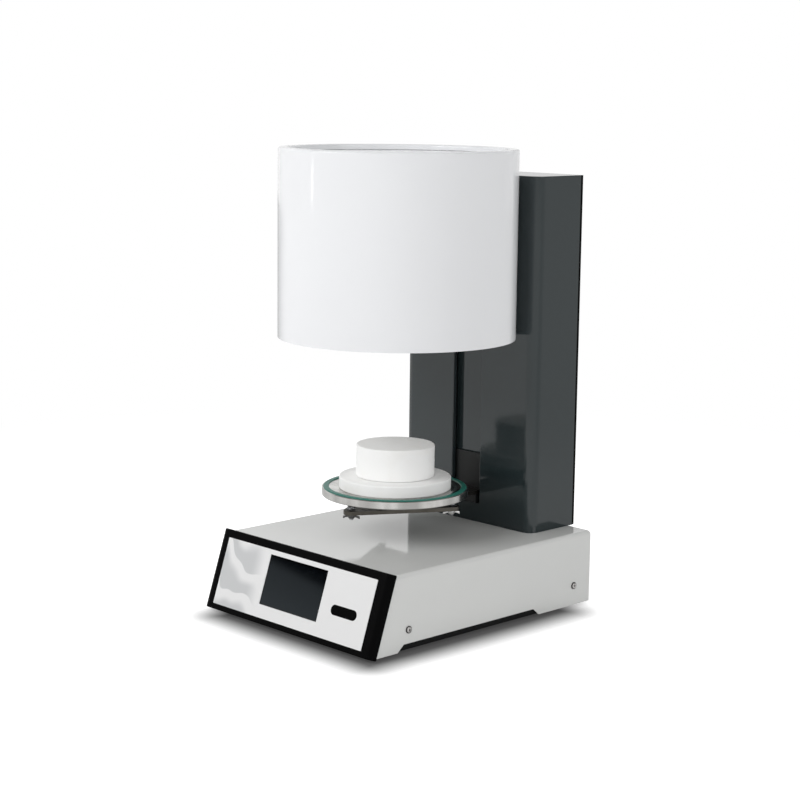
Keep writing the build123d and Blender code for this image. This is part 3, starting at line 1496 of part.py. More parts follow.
nut_hub = 4.6
nut_hub_height = 4.2
wing_span = 8.5
wing_lean = 0.8             # the wings' outer ends lean outwards
wing_height = 3.4
wing_start = 1.0
wing_thickness = 1.8
wing_drop = 5.4
wing_root = nut_hub - 1.0
with BuildPart() as wing_nuts:
    with BuildSketch(level(star_z)):
        with adjusters:
            Circle(nut_hub)
    extrude(amount=-nut_hub_height)
    for index in range(3):
        turn = star_turn + 120 * index
        hub = Plane(
            origin=(star_reach * cos(radians(turn)), axis_y + star_reach * sin(radians(turn)), star_z),
            x_dir=(cos(radians(turn + 90)), sin(radians(turn + 90)), 0),
            z_dir=(cos(radians(turn)), sin(radians(turn)), 0),
        )
        with BuildSketch(hub):
            with BuildLine():
                Polyline(
                    (-wing_root, -nut_hub_height),
                    (-wing_span, -wing_drop),
                    (-wing_span - wing_lean, -wing_drop + wing_height),
                    (-wing_root, -wing_start),
                    (wing_root, -wing_start),
                    (wing_span + wing_lean, -wing_drop + wing_height),
                    (wing_span, -wing_drop),
                    (wing_root, -nut_hub_height),
                    close=True,
                )
            make_face()
        extrude(amount=wing_thickness / 2, both=True)
    with BuildSketch(level(star_z)):
        with adjusters:
            Circle(adjuster_radius)
    extrude(amount=-wing_drop, mode=Mode.SUBTRACT)
wing_nuts.part.label = "wing_nuts"
export_step(wing_nuts.part, "parts/wing_nuts.step")

# Two end-stop switches on the frame, struck by the carriage's edge.
stop_x = 62.0
stop_depth = 12.0
stop_width = 7.0
stop_height = 20.0
stop_low_z = carriage_z - 3.0
stop_high_z = carriage_z + carriage_height + lift_travel
with BuildPart() as stop_switches:
    with BuildSketch(back_to_front(frame_rear - frame_wall)):
        with Locations((-stop_x, stop_low_z), (-stop_x, stop_high_z)):
            Rectangle(stop_width, stop_height)
    extrude(amount=-stop_depth)
stop_switches.part.label = "stop_switches"
export_step(stop_switches.part, "parts/stop_switches.step")
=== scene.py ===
from math import atan2, cos, pi, radians, sin

import bpy
from mathutils import Matrix, Vector


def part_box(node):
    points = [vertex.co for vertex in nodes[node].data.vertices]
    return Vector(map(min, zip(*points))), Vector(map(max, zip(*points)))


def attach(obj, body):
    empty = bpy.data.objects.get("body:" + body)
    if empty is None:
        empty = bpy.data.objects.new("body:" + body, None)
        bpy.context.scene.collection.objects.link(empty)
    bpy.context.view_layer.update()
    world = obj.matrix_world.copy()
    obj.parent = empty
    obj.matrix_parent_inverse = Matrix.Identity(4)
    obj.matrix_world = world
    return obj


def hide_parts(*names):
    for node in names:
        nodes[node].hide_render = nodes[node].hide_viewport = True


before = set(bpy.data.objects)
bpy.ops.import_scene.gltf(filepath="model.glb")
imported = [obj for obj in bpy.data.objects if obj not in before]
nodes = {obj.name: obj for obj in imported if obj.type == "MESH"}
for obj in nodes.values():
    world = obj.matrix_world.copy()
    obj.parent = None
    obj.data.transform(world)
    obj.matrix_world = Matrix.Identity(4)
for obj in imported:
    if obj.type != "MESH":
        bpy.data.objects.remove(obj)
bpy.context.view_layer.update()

mm = 0.001

# ------------------------------------------------------------------------ studio
# A sweep of white paper under soft light, seen from the right front and a little
# from above. The shade round the housing's foot is part of the floor's material.
lift_axis_y = (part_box("firing_table")[0].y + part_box("firing_table")[1].y) / 2
camera_azimuth = radians(46.04)
camera_pitch = radians(9.59)
camera_roll = radians(0.68)
camera_distance = 2.105
camera_lens = 83.565
aim_height = 0.2439
aim_right = 0.00465
away_rear = 0.695           # the level direction from the camera past the furnace
away_left = 0.719
horizon_fade = (0.135, 0.17)
horizon_end = (0.1702, 0.1736)
backdrop_spread = (0.2, 0.6)
backdrop_end = (0.35, 0.75)
ceiling_rise = (0.17, 0.45)
shade_width = (-0.01, 0.06)
open_floor = (0.35, 1.2)
behind_spread = (0.6, 0.9)
lamp_target = Vector((0, 0, 0.26))
white = (1.0, 1.0, 1.0)
black = (0.0, 0.0, 0.0)


class Value:
    """One output of a shader node. Arithmetic on it adds Math nodes."""

    def __init__(self, finish, socket):
        self.finish = finish
        self.socket = socket

    def maths(self, operation, *others):
        return self.finish.node("ShaderNodeMath", {"operation": operation}, self, *others)

    def __add__(self, other):
        return self.maths("ADD", other)

    def __sub__(self, other):
        return self.maths("SUBTRACT", other)

    def __rsub__(self, other):
        return self.finish.node("ShaderNodeMath", {"operation": "SUBTRACT"}, other, self)

    def __mul__(self, other):
        return self.maths("MULTIPLY", other)

    def __truediv__(self, other):
        return self.maths("DIVIDE", other)

    def __gt__(self, other):
        return self.maths("GREATER_THAN", other)

    def __lt__(self, other):
        return self.maths("LESS_THAN", other)

    def __abs__(self):
        return self.maths("ABSOLUTE")

    def either(self, other):
        return self.maths("MAXIMUM", other)

    def ramp(self, low, high):
        """0 up to low, 1 from high on, with a soft passage between."""
        settings = {"interpolation_type": "SMOOTHSTEP"}
        return self.finish.node("ShaderNodeMapRange", settings, self, low, high, 0.0, 1.0)

    __radd__ = __add__
    __rmul__ = __mul__


class Finish:
    """The nodes of one material, or of the world."""

    def __init__(self, name, holder=None):
        self.block = holder or bpy.data.materials.new(name)
        self.block.use_nodes = True
        self.tree = self.block.node_tree
        self.shader = self.tree.nodes.get("Principled BSDF")

    def feed(self, socket, value):
        if isinstance(value, Value):
            self.tree.links.new(value.socket, socket)
        elif socket.type == "RGBA":
            socket.default_value = (*value, 1)
        elif value is not None:
            socket.default_value = value

    def node(self, kind, settings=None, *values, out=0, **named):
        """Adds a node: its settings first, then its sockets by order or by name."""
        node = self.tree.nodes.new(kind)
        for key, value in (settings or {}).items():
            setattr(node, key, value)
        for order, value in enumerate(values):
            if value is not None:
                self.feed(node.inputs[order], value)
        for name, value in named.items():
            self.feed(node.inputs[name.replace("_", " ")], value)
        return Value(self, node.outputs[out])

    def blend(self, share, first, second):
        """The first colour where share is 0, the second where it is 1."""
        other_types = [None] * 5
        settings = {"data_type": "RGBA"}
        return self.node("ShaderNodeMix", settings, share, *other_types, first, second, out=2)

    def place(self, centre=(0, 0, 0), turn=(0, 0, 0), size=(1, 1, 1)):
        """Object coordinates from this centre, along turned axes, in units of size."""
        where = self.node("ShaderNodeTexCoord", out="Object")
        settings = {"vector_type": "TEXTURE"}
        return self.node("ShaderNodeMapping", settings, where, centre, turn, size)

    def split(self, where):
        node = self.node("ShaderNodeSeparateXYZ", None, where).socket.node
        return [Value(self, output) for output in node.outputs]

    def cloud(self, size, detail=2.0, roughness=0.5, where=None):
        """Mottling from 0 to 1 whose patches are about this size."""
        where = where or self.place()
        return self.node(
            "ShaderNodeTexNoise", None, where,
            Scale=1 / size, Detail=detail, Roughness=roughness,
        )

    def relief(self, height, depth, strength=1.0):
        bump = self.node(
            "ShaderNodeBump", None, Strength=strength, Distance=depth, Height=height,
        )
        self.surface(Normal=bump)

    def surface(self, **values):
        for name, value in values.items():
            self.feed(self.shader.inputs[name.replace("_", " ")], value)


def tint(red, green, blue):
    """A colour from its values on a screen, 0 to 255."""
    return tuple(
        ((c / 255 + 0.055) / 1.055) ** 2.4 if c > 10 else c / 255 / 12.92
        for c in (red, green, blue)
    )


def times(colour, share):
    return tuple(min(1.0, c * share) for c in colour)


camera = bpy.data.objects.new("camera", bpy.data.cameras.new("camera"))
bpy.context.scene.collection.objects.link(camera)
camera.data.lens = camera_lens
camera.data.sensor_width = 36
back = Vector((
    sin(camera_azimuth) * cos(camera_pitch),
    -cos(camera_azimuth) * cos(camera_pitch),
    sin(camera_pitch),
))
aim = Vector((
    cos(camera_azimuth) * aim_right,
    lift_axis_y + sin(camera_azimuth) * aim_right,
    aim_height,
))
upright = back.to_track_quat("Z", "Y").to_matrix().to_4x4()
rolled_view = upright @ Matrix.Rotation(camera_roll, 4, "Z")
camera.matrix_world = Matrix.Translation(aim + back * camera_distance) @ rolled_view
bpy.context.scene.camera = camera

sky = bpy.data.worlds.new("studio")
bpy.context.scene.world = sky
room = Finish("room", sky)
rightward, rearward, skyward = room.split(room.node("ShaderNodeTexCoord", out="Generated"))
horizon = (0.85 - skyward.ramp(*horizon_fade) * 0.33) * (1 - skyward.ramp(*horizon_end))
ahead = rearward * away_rear - rightward * away_left
backdrop = ahead.ramp(*backdrop_spread) * (1 - skyward.ramp(*backdrop_end))
seen = room.node("ShaderNodeLightPath", out="Is Camera Ray")
brightness = (horizon.either(backdrop) * 0.88 + skyward.ramp(*ceiling_rise) * 0.34).either(seen)
room.feed(sky.node_tree.nodes["Background"].inputs["Color"], white)
room.feed(sky.node_tree.nodes["Background"].inputs["Strength"], brightness)

bpy.ops.object.select_all(action="DESELECT")
bpy.ops.mesh.primitive_plane_add(size=14)
floor = bpy.context.object
floor.name = "floor"
paper = Finish("floor_paper")
camera_ray, glossy_ray, transmission_ray = [
    paper.node("ShaderNodeLightPath", out=name)
    for name in ("Is Camera Ray", "Is Glossy Ray", "Is Transmission Ray")
]
shown = camera_ray.either(glossy_ray).either(transmission_ray)
foot_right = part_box("front_bezel")[1].x
foot_left = 0.035 - foot_right
foot_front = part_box("front_bezel")[0].y
foot_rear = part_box("base_housing")[1].y - 0.05
foot_middle = ((foot_left + foot_right) / 2, (foot_front + foot_rear) / 2, 0)
across, along, _ = paper.split(paper.place(foot_middle))
beside = (abs(across) - (foot_right - foot_left) / 2).either(0.0)
before = (abs(along) - (foot_rear - foot_front) / 2).either(0.0)
distance = (beside * beside + before * before).maths("SQRT")
from_middle = (across * across + along * along).maths("SQRT")
behind = ((along * away_rear - across * away_left) / from_middle).ramp(*behind_spread)
far = distance.ramp(*open_floor)
# Near the housing's foot the floor is painted darker and glows less: a painted shadow that
# deepens the real one.
clear = distance.ramp(*shade_width)
matt_share = (0.1 + clear * 0.74) * (1 - far) * shown + 0.84 * (1 - shown)
matt = paper.node("ShaderNodeBsdfDiffuse", None, paper.blend(matt_share, black, white))
mirrored = 1.0 - along.ramp(-0.5, 0.5) * 0.22 - behind * 0.4
shine = far * mirrored.either(camera_ray) + (1 - far) * clear * (0.35 + camera_ray * 0.4)
glow = paper.node("ShaderNodeEmission", None, white, shown * shine)
both = paper.node("ShaderNodeAddShader", None, matt, glow)
paper.feed(paper.tree.nodes["Material Output"].inputs["Surface"], both)
floor.data.materials.append(paper.block)

for name, azimuth, elevation, away, width, height, power in (
    ("key", -18, 32, 3.0, 2.0, 1.6, 46),
    ("side", 96, 20, 3.0, 1.8, 1.4, 19),
    ("fill", 42, 25, 3.0, 2.0, 1.6, 9),
    ("strip", -37, 8.5, 1.21, 0.04, 0.07, 0.05),
):
    lamp = bpy.data.lights.new(name, "AREA")
    lamp.shape = "RECTANGLE"
    lamp.size = width
    lamp.size_y = height
    lamp.energy = power
    stand = bpy.data.objects.new(name, lamp)
    bpy.context.scene.collection.objects.link(stand)
    out = Vector((
        sin(radians(azimuth)) * cos(radians(elevation)),
        -cos(radians(azimuth)) * cos(radians(elevation)),
        sin(radians(elevation)),
    ))
    stand.location = lamp_target + out * away
    stand.rotation_euler = out.to_track_quat("Z", "Y").to_euler()
bpy.context.scene.view_settings.view_transform = "Standard"

# ------------------------------------------------------------------ housing shell
# One sheet of steel, cut and folded into the top, the two sides and the narrow
# returns at the rear. It is sprayed a light warm grey and baked, fairly glossy.
housing_colour = tint(221, 222, 220)


def sprayed(name, colour, roughness, peel, patches=0.03):
    """Stoved paint: faint patches, the fine waves of sprayed paint, and some dust."""
    paint = Finish(name)
    patch = paint.cloud(0.09, 3.0)
    dust = paint.cloud(0.03, 6.0, 0.7)
    paint.surface(
        Base_Color=paint.blend(patch, times(colour, 1 - patches), times(colour, 1 + patches)),
        Roughness=dust * 0.08 + (roughness - 0.04),
        IOR=1.5,
    )
    paint.relief(paint.cloud(2.2 * mm, 2.0) + paint.cloud(0.6 * mm, 1.0) * 0.25, peel)
    return paint


def coat(finish, *names):
    """Gives a finish to nodes of the frame."""
    for name in names:
        for place in nodes[name].material_slots:
            place.material = finish.block


coat(sprayed("housing_paint", housing_colour, 0.07, 0.003 * mm), "base_housing")

# ---------------------------------------------------------- floor pan and feet
# The pan that closes the housing from below is folded sheet, painted matt black.
# It stands on four feet of black rubber, which pick up dust and scuffs.
pan_black = sprayed("pan_black", tint(13, 14, 14), 0.46, 0.02 * mm, 0.12)
pan_black.surface(Specular_IOR_Level=0.15)
coat(pan_black, "floor_pan")

feet_rubber = Finish("feet_rubber")
scuffs = feet_rubber.cloud(4 * mm, 8.0, 0.75).ramp(0.52, 0.7)
feet_rubber.surface(
    Base_Color=feet_rubber.blend(scuffs, tint(28, 28, 29), tint(62, 61, 58)),
    Roughness=0.62 + scuffs * 0.25,
)
feet_rubber.relief(feet_rubber.cloud(0.5 * mm, 3.0), 0.04 * mm)
coat(feet_rubber, "rubber_feet")

# ------------------------------------------------------------------- side screws
# Four bright pan-head screws with a cross recess hold the housing's sides to the
# pan. They are cold-headed steel, nickel-plated, with a slightly domed top.
side_head_radius = 4.0 * mm
side_head_rise = 2.0 * mm
side_screw_height = 27 * mm
recess_width = 0.3          # of the head's radius
recess_reach = 0.4
recess_length = 2.2         # of the head's rise
recess_middle = 1.45
recess_taper = 0.6
dome_steps = ((0.16, 0.22), (0.26, 0.16), (0.24, 0.07))


def begin():
    if bpy.context.object and bpy.context.object.mode != "OBJECT":
        bpy.ops.object.mode_set(mode="OBJECT")
    bpy.ops.object.select_all(action="DESELECT")


def alone(piece):
    begin()
    piece.select_set(True)
    bpy.context.view_layer.objects.active = piece
    return piece


def pick_faces(piece, wanted):
    """Edit mode, with the faces selected whose centre and normal are wanted."""
    alone(piece)
    bpy.ops.object.mode_set(mode="EDIT")
    bpy.ops.mesh.select_mode(type="FACE")
    bpy.ops.mesh.select_all(action="DESELECT")
    bpy.ops.object.mode_set(mode="OBJECT")
    for face in piece.data.polygons:
        face.select = wanted(face.center, face.normal)
    bpy.ops.object.mode_set(mode="EDIT")


def apply_modifier(piece, kind, **settings):
    alone(piece)
    modifier = piece.modifiers.new(kind.lower(), kind)
    for key, value in settings.items():
        setattr(modifier, key, value)
    bpy.ops.object.modifier_apply(modifier=modifier.name)


def moved_copy(piece, matrix):
    """A copy with its own mesh, set at this place."""
    copy = piece.copy()
    copy.data = piece.data.copy()
    bpy.context.scene.collection.objects.link(copy)
    copy.matrix_world = matrix
    alone(copy)
    bpy.ops.object.transform_apply(location=True, rotation=True, scale=True)
    return copy


def joined(name, pieces):
    begin()
    for piece in pieces:
        piece.select_set(True)
    bpy.context.view_layer.objects.active = pieces[0]
    if len(pieces) > 1:
        bpy.ops.object.join()
    whole = bpy.context.object
    whole.name = name
    return whole


def fit(piece, finish, body, replaced=(), crease=35):
    """Gives a new piece its finish, and fixes it to the body it moves with."""
    alone(piece)
    bpy.ops.object.transform_apply(location=True, rotation=True, scale=True)
    bpy.ops.object.shade_smooth_by_angle(angle=radians(crease))
    piece.data.materials.clear()
    piece.data.materials.append(finish.block)
    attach(piece, body)
    if replaced:
        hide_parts(*replaced)
    return piece


def facing(place, normal, turn=0.0):
    """A matrix that stands +Z on this normal at this place."""
    upright = Vector(normal).to_track_quat("Z", "Y").to_matrix().to_4x4()
    return Matrix.Translation(place) @ upright @ Matrix.Rotation(radians(turn), 4, "Z")


def pan_head(radius, rise):
    """A domed, cross-recessed screw head that stands on the origin."""
    begin()
    bpy.ops.mesh.primitive_cylinder_add(
        vertices=32, radius=radius, depth=rise / 2, location=(0, 0, rise / 4),
    )
    head = bpy.context.object
    bpy.ops.object.transform_apply(location=True)
    pick_faces(head, lambda centre, normal: normal.z > 0.9)
    for inward, upward in dome_steps:
        bpy.ops.mesh.inset(thickness=radius * inward, depth=rise * upward)
    begin()
    bpy.ops.mesh.primitive_cube_add(size=radius * recess_width, location=(0, 0, 0))
    cross = bpy.context.object
    cross.scale.z = recess_length * rise / (radius * recess_width)
    cross.location.z = recess_middle * rise
    bpy.ops.object.transform_apply(location=True, scale=True)
    pick_faces(cross, lambda centre, normal: abs(normal.z) < 0.1)
    outward = {"value": radius * recess_reach}
    bpy.ops.mesh.extrude_faces_move(TRANSFORM_OT_shrink_fatten=outward)
    pick_faces(cross, lambda centre, normal: normal.z < -0.9)
    bpy.ops.transform.resize(value=(recess_taper, recess_taper, 1))
    bpy.ops.object.mode_set(mode="OBJECT")
    apply_modifier(head, "BOOLEAN", operation="DIFFERENCE", object=cross, solver="EXACT")
    bpy.data.objects.remove(cross)
    return head


housing_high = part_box("base_housing")[1]
screw_nickel = Finish("screw_nickel")
handling = screw_nickel.cloud(1.2 * mm, 4.0)
# The head's rim by the housing and the bottom of its cross recess are painted dark: painted shade
# in the head's low parts.
above_painted_shade = abs(screw_nickel.split(screw_nickel.place())[0])
above_painted_shade = above_painted_shade.ramp(housing_high.x + 1.1 * mm, housing_high.x + 1.7 * mm)
nickel = screw_nickel.blend(handling, tint(150, 148, 146), tint(214, 212, 210))
screw_nickel.surface(
    Base_Color=screw_nickel.blend(above_painted_shade, tint(30, 27, 25), nickel),
    Metallic=1.0,
    Roughness=0.2 + handling * 0.16,
)
screw_nickel.relief(screw_nickel.cloud(0.15 * mm, 2.0), 0.004 * mm)
screws_front, screws_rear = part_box("side_screws")
side_screw_rows = (screws_front.y + side_head_radius, screws_rear.y - side_head_radius)
side_head = pan_head(side_head_radius, side_head_rise)
heads = []
for side in (-1, 1):
    for order, y in enumerate(side_screw_rows):
        where = (side * housing_high.x, y, side_screw_height)
        turn = 25 + 40 * order + 17 * side
        heads.append(moved_copy(side_head, facing(where, (side, 0, 0), turn)))
bpy.data.objects.remove(side_head)
fit(joined("side_screw_heads", heads), screw_nickel, "base", ["side_screws"])

# ------------------------------------------------------------------ front bezel
# The slanted frame of the control panel is one moulding of black plastic with a
# fine spark-eroded texture. Its lip enters the housing and clips behind it.
moulded = Finish("moulded_black")
grain = moulded.cloud(0.5 * mm, 3.0, 0.6)
touched = moulded.cloud(0.02, 4.0, 0.6)
moulded.surface(
    Base_Color=moulded.blend(grain, tint(4, 4, 4), tint(8, 8, 9)),
    Roughness=0.32 + touched * 0.12,
    Specular_IOR_Level=0.03,
)
moulded.relief(grain, 0.018 * mm)
coat(moulded, "front_bezel")

# ---------------------------------------------------------------- panel overlay
# A polycarbonate film, printed from behind and glued into the bezel. The print is
# light grey with soft paler and darker waves on the left and a plain dark pill.
slope_run = 28 * mm
slope_rise = 84 * mm
slope_turn = (atan2(slope_rise, slope_run), 0, 0)
panel_foot = (0, lift_axis_y - 158 * mm, 4 * mm)
pill_middle = (85.8 * mm, 37.6 * mm)
pill_length = 40.5 * mm
pill_height = 11.3 * mm
pill_blur = 0.08 * mm
print_grey = tint(229, 229, 229)

film = Finish("printed_film")
sideways, upslope, _ = film.split(film.place(panel_foot, slope_turn))
leftward = 1 - sideways.ramp(-76 * mm, -52 * mm)
sway = film.cloud(0.05, 1.0, where=film.place(panel_foot, slope_turn, (1, 1.4, 1)))
swell = upslope / (34 * mm) + sideways / (120 * mm) + sway * 2.1
rounds = swell.maths("FRACT")
waves = rounds.ramp(0.12, 0.17) * (1 - rounds.ramp(0.5, 0.9))
ends = (pill_length - pill_height) / 2
flank = (abs(sideways - pill_middle[0]) - ends).either(0.0)
stand_off = upslope - pill_middle[1]
pill_gap = (flank * flank + stand_off * stand_off).maths("SQRT")
pill = 1 - pill_gap.ramp(pill_height / 2 - pill_blur, pill_height / 2 + pill_blur)
printed = film.blend(waves * leftward, print_grey, tint(199, 200, 201))
film.surface(
    Base_Color=film.blend(pill, printed, tint(3, 3, 3)),
    Roughness=0.3 + film.cloud(0.015, 4.0) * 0.1,
    Specular_IOR_Level=0.03,
)
film.relief(film.cloud(0.35 * mm, 2.0), 0.003 * mm)
coat(film, "panel_overlay")

# ----------------------------------------------------------------- touch screen
# Glass over a dark display, bonded in the bezel's window. The lit area is a shade
# lighter than its printed border, and the glass carries a few finger marks.
screen_middle = 47.5 * mm
screen_half_width = 47.5 * mm
screen_half_height = 28 * mm
border = 2.6 * mm
border_blur = 0.2 * mm
lit_half_width = screen_half_width - border
lit_half_height = screen_half_height - border
glass = Finish("display_glass")
sideways, upslope, _ = glass.split(glass.place(panel_foot, slope_turn))
inside_x = 1 - abs(sideways).ramp(lit_half_width, lit_half_width + border_blur)
inside_y = abs(upslope - screen_middle).ramp(lit_half_height, lit_half_height + border_blur)
inside_y = 1 - inside_y
fingers = glass.cloud(9 * mm, 5.0, 0.65).ramp(0.5, 0.75)
glass.surface(
    Base_Color=glass.blend(inside_x * inside_y, tint(3, 3, 4), tint(5, 7, 10)),
    Roughness=0.04 + fingers * 0.02,
    Specular_Tint=(0.74, 0.9, 1.0),
    IOR=1.52,
)
glass.relief(glass.cloud(0.03, 1.0), 0.001 * mm)
coat(glass, "touch_screen")

# ----------------------------------------- zinc-plated sheet behind and inside
# The display's can, the motor's mount, the column's frame, the drum's hanger, the
# chamber's case and the power supply are zinc-plated sheet with a faint spangle.
zinc = Finish("zinc_sheet")
cells = {"feature": "F1"}
spangle = zinc.node("ShaderNodeTexVoronoi", cells, zinc.place(), Scale=140.0, out="Color")
flake = zinc.split(spangle)[0]
clouded = zinc.cloud(0.02, 4.0)
zinc.surface(
    Base_Color=zinc.blend(flake * 0.5 + clouded * 0.5, tint(168, 172, 176), tint(204, 207, 208)),
    Metallic=1.0,
    Roughness=0.3 + flake * 0.16,
)
zinc.relief(flake + zinc.cloud(0.4 * mm, 2.0) * 0.4, 0.004 * mm)
coat(zinc, "display_module", "motor_mount", "column_frame", "drum_hanger")
coat(zinc, "chamber_case", "case_lid", "power_supply")

# ------------------------------------------------------- rear panel and fittings
# A black painted sheet inside the housing's returns. It carries the fan, the mains
# inlet and switch, and the vacuum port. Small black screws hold it, the fan and the inlet.
rear_black = sprayed("rear_black", tint(30, 31, 32), 0.36, 0.015 * mm, 0.1)
coat(rear_black, "rear_panel")

# Mains inlet, black moulded, with three brass blades in its well.
blade_spacing = 7 * mm
blade_rise = 2 * mm
blade_half_width = 1.1 * mm
blade_half_height = 2.6 * mm
well_mouth = -4.5 * mm
inlet_low, inlet_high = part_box("power_inlet")
inlet_x = (inlet_low.x + inlet_high.x) / 2
inlet_z = (inlet_low.z + inlet_high.z) / 2
inlet_middle = (inlet_x, inlet_high.y, inlet_z)
inlet_mould = Finish("inlet_mould")
across, depth, up = inlet_mould.split(inlet_mould.place(inlet_middle))
outer_blade = abs(abs(across) - blade_spacing) < blade_half_width
outer_blade = outer_blade * (abs(up + blade_rise) < blade_half_height)
middle_blade = (abs(across) < blade_half_width) * (abs(up - blade_rise) < blade_half_height)
blade = outer_blade.either(middle_blade) * (depth < well_mouth)
pits = inlet_mould.cloud(0.5 * mm, 3.0)
pitted = inlet_mould.blend(pits, tint(20, 20, 21), tint(30, 30, 31))
inlet_mould.surface(
    Base_Color=inlet_mould.blend(blade, pitted, tint(206, 176, 106)),
    Metallic=blade,
    Roughness=0.42 - blade * 0.18 + pits * 0.06,
)
inlet_mould.relief(pits, 0.01 * mm)
coat(inlet_mould, "power_inlet")
coat(moulded, "switch_frame", "fan_frame")

# The switch's rocker carries a moulded bar and ring, filled with white.
mark_height = 4.6 * mm
bar_half_width = 0.35 * mm
bar_half_height = 1.9 * mm
ring_radius = 1.6 * mm
ring_half_width = 0.33 * mm
rocker_face = -4.5 * mm
rocker_low, rocker_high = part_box("power_rocker")
rocker_x = (rocker_low.x + rocker_high.x) / 2
rocker_z = (rocker_low.z + rocker_high.z) / 2
rocker_middle = (rocker_x, rocker_high.y, rocker_z)
rocker_mould = Finish("rocker_mould")
across, depth, up = rocker_mould.split(rocker_mould.place(rocker_middle))
bar = (abs(across) < bar_half_width) * (abs(up - mark_height) < bar_half_height)
ring_up = up + mark_height
ring_gap = (across * across + ring_up * ring_up).maths("SQRT")
ring = abs(ring_gap - ring_radius) < ring_half_width
mark = bar.either(ring) * (depth > rocker_face)
polish = rocker_mould.cloud(5 * mm, 3.0)
rocker_mould.surface(
    Base_Color=rocker_mould.blend(mark, tint(18, 18, 19), tint(225, 225, 222)),
    Roughness=0.2 + polish * 0.12,
)
rocker_mould.relief(mark, -0.05 * mm)
coat(rocker_mould, "power_rocker")

# The fan's impeller is glass-filled nylon. A chromed ring guard covers it.
fan_nylon = Finish("fan_nylon")
fibres = fan_nylon.cloud(1.0 * mm, 5.0, 0.7)
fan_nylon.surface(
    Base_Color=fan_nylon.blend(fibres, tint(24, 24, 25), tint(38, 38, 40)),
    Roughness=0.4 + fibres * 0.15,
)
fan_nylon.relief(fibres, 0.01 * mm)
coat(fan_nylon, "fan_impeller")

chrome = Finish("plated_wire")
haze = chrome.cloud(3 * mm, 4.0)
chrome.surface(
    Base_Color=chrome.blend(haze, tint(206, 208, 210), tint(226, 227, 228)),
    Metallic=1.0,
    Roughness=0.1 + haze * 0.12,
)
chrome.relief(chrome.cloud(0.3 * mm, 2.0), 0.003 * mm)
coat(chrome, "fan_guard")

# The vacuum port is turned brass, with tool lines round its axis. The lift's nut
# is the same brass.
brass = Finish("turned_brass")
lines = brass.cloud(0.25 * mm, 3.0, where=brass.place(size=(14, 1, 14)))
handled = brass.cloud(4 * mm, 4.0)
brass.surface(
    Base_Color=brass.blend(handled, tint(196, 164, 92), tint(221, 194, 128)),
    Metallic=1.0,
    Roughness=0.2 + lines * 0.12 + handled * 0.08,
)
brass.relief(lines, 0.006 * mm)
coat(brass, "vacuum_port", "lead_nut")

# Black cross-recessed screws hold the rear panel, the fan, the inlet and the
# column's back panel.
black_screw = Finish("black_screw")
rubbed = black_screw.cloud(0.8 * mm, 4.0).ramp(0.5, 0.75)
black_screw.surface(
    Base_Color=black_screw.blend(rubbed, tint(38, 38, 40), tint(88, 88, 90)),
    Metallic=0.8,
    Roughness=0.34,
)
black_screw.relief(black_screw.cloud(0.2 * mm, 2.0), 0.004 * mm)
fan_low, fan_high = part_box("fan_frame")
fan_x = (fan_low.x + fan_high.x) / 2
fan_z = (fan_low.z + fan_high.z) / 2
guard_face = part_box("fan_guard")[1].y
back_panel_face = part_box("column_cover")[1].y + 3.0 * mm
small_head_radius = 2.6 * mm
small_head_rise = 1.3 * mm
screw_offset = 20 * mm      # the fan's and the rear panel's screws from their middle
rear_screw_x = 130.2 * mm
rear_screw_z = 52 * mm
inlet_screw_x = 19.6 * mm
back_screw_x = 98 * mm
back_screw_heights = (0.104, 0.228, 0.353, 0.478)
small_head = pan_head(small_head_radius, small_head_rise)
places = []
for side in (-1, 1):
    for level in (-1, 1):
        rise = level * screw_offset
        places.append((fan_x + side * screw_offset, guard_face, fan_z + rise))
        places.append((side * rear_screw_x, housing_high.y, rear_screw_z + rise))
    places.append((inlet_x + side * inlet_screw_x, inlet_high.y, inlet_z))
    for z in back_screw_heights:
        places.append((side * back_screw_x, back_panel_face, z))
heads = []
for order, where in enumerate(places):
    heads.append(moved_copy(small_head, facing(where, (0, 1, 0), 31.0 * order)))
bpy.data.objects.remove(small_head)
fit(joined("rear_screw_heads", heads), black_screw, "base")

# -------------------------------------------------------------------- electronics
# The control board is green glass-epoxy with its parts soldered on. The heater's
# relay is a black block on a metal foot, and the stop switches are alike.
parts_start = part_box("control_board")[0].z + 1.7 * mm
board = Finish("board_laminate")
part_above = board.split(board.place())[2] > parts_start
weave = board.cloud(0.6 * mm, 2.0)
edges = {"feature": "DISTANCE_TO_EDGE"}
tracks = board.node("ShaderNodeTexVoronoi", edges, board.place(), Scale=260.0)
copper = tracks < 0.06
laminate = board.blend(weave, tint(22, 84, 52), tint(30, 98, 62))
laminate = board.blend(copper * 0.6, laminate, tint(58, 128, 84))
body_tone = board.cloud(0.03, 0.0).ramp(0.45, 0.55)
soldered = board.blend(body_tone, tint(28, 28, 30), tint(150, 150, 148))
board.surface(
    Base_Color=board.blend(part_above, laminate, soldered),
    Roughness=0.36 + weave * 0.1,
)
board.relief(copper + weave * 0.2, 0.02 * mm)
coat(board, "control_board")

relay = Finish("relay_body")
foot_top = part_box("heater_relay")[0].z + 5 * mm
foot = relay.split(relay.place())[2] < foot_top
relay_grain = relay.cloud(0.6 * mm, 2.0)
relay_black = relay.blend(relay_grain, tint(34, 35, 38), tint(44, 45, 48))
relay.surface(
    Base_Color=relay.blend(foot, relay_black, tint(176, 178, 180)),
    Metallic=foot,
    Roughness=0.34 + relay_grain * 0.1,
)
relay.relief(relay_grain, 0.01 * mm)
coat(relay, "heater_relay")
switch_mould = Finish("switch_mould")
flow = switch_mould.cloud(2 * mm, 3.0)
switch_mould.surface(
    Base_Color=switch_mould.blend(flow, tint(26, 26, 28), tint(40, 40, 43)),
    Roughness=0.38 + flow * 0.1,
)
switch_mould.relief(flow, 0.01 * mm)
coat(switch_mould, "stop_switches")

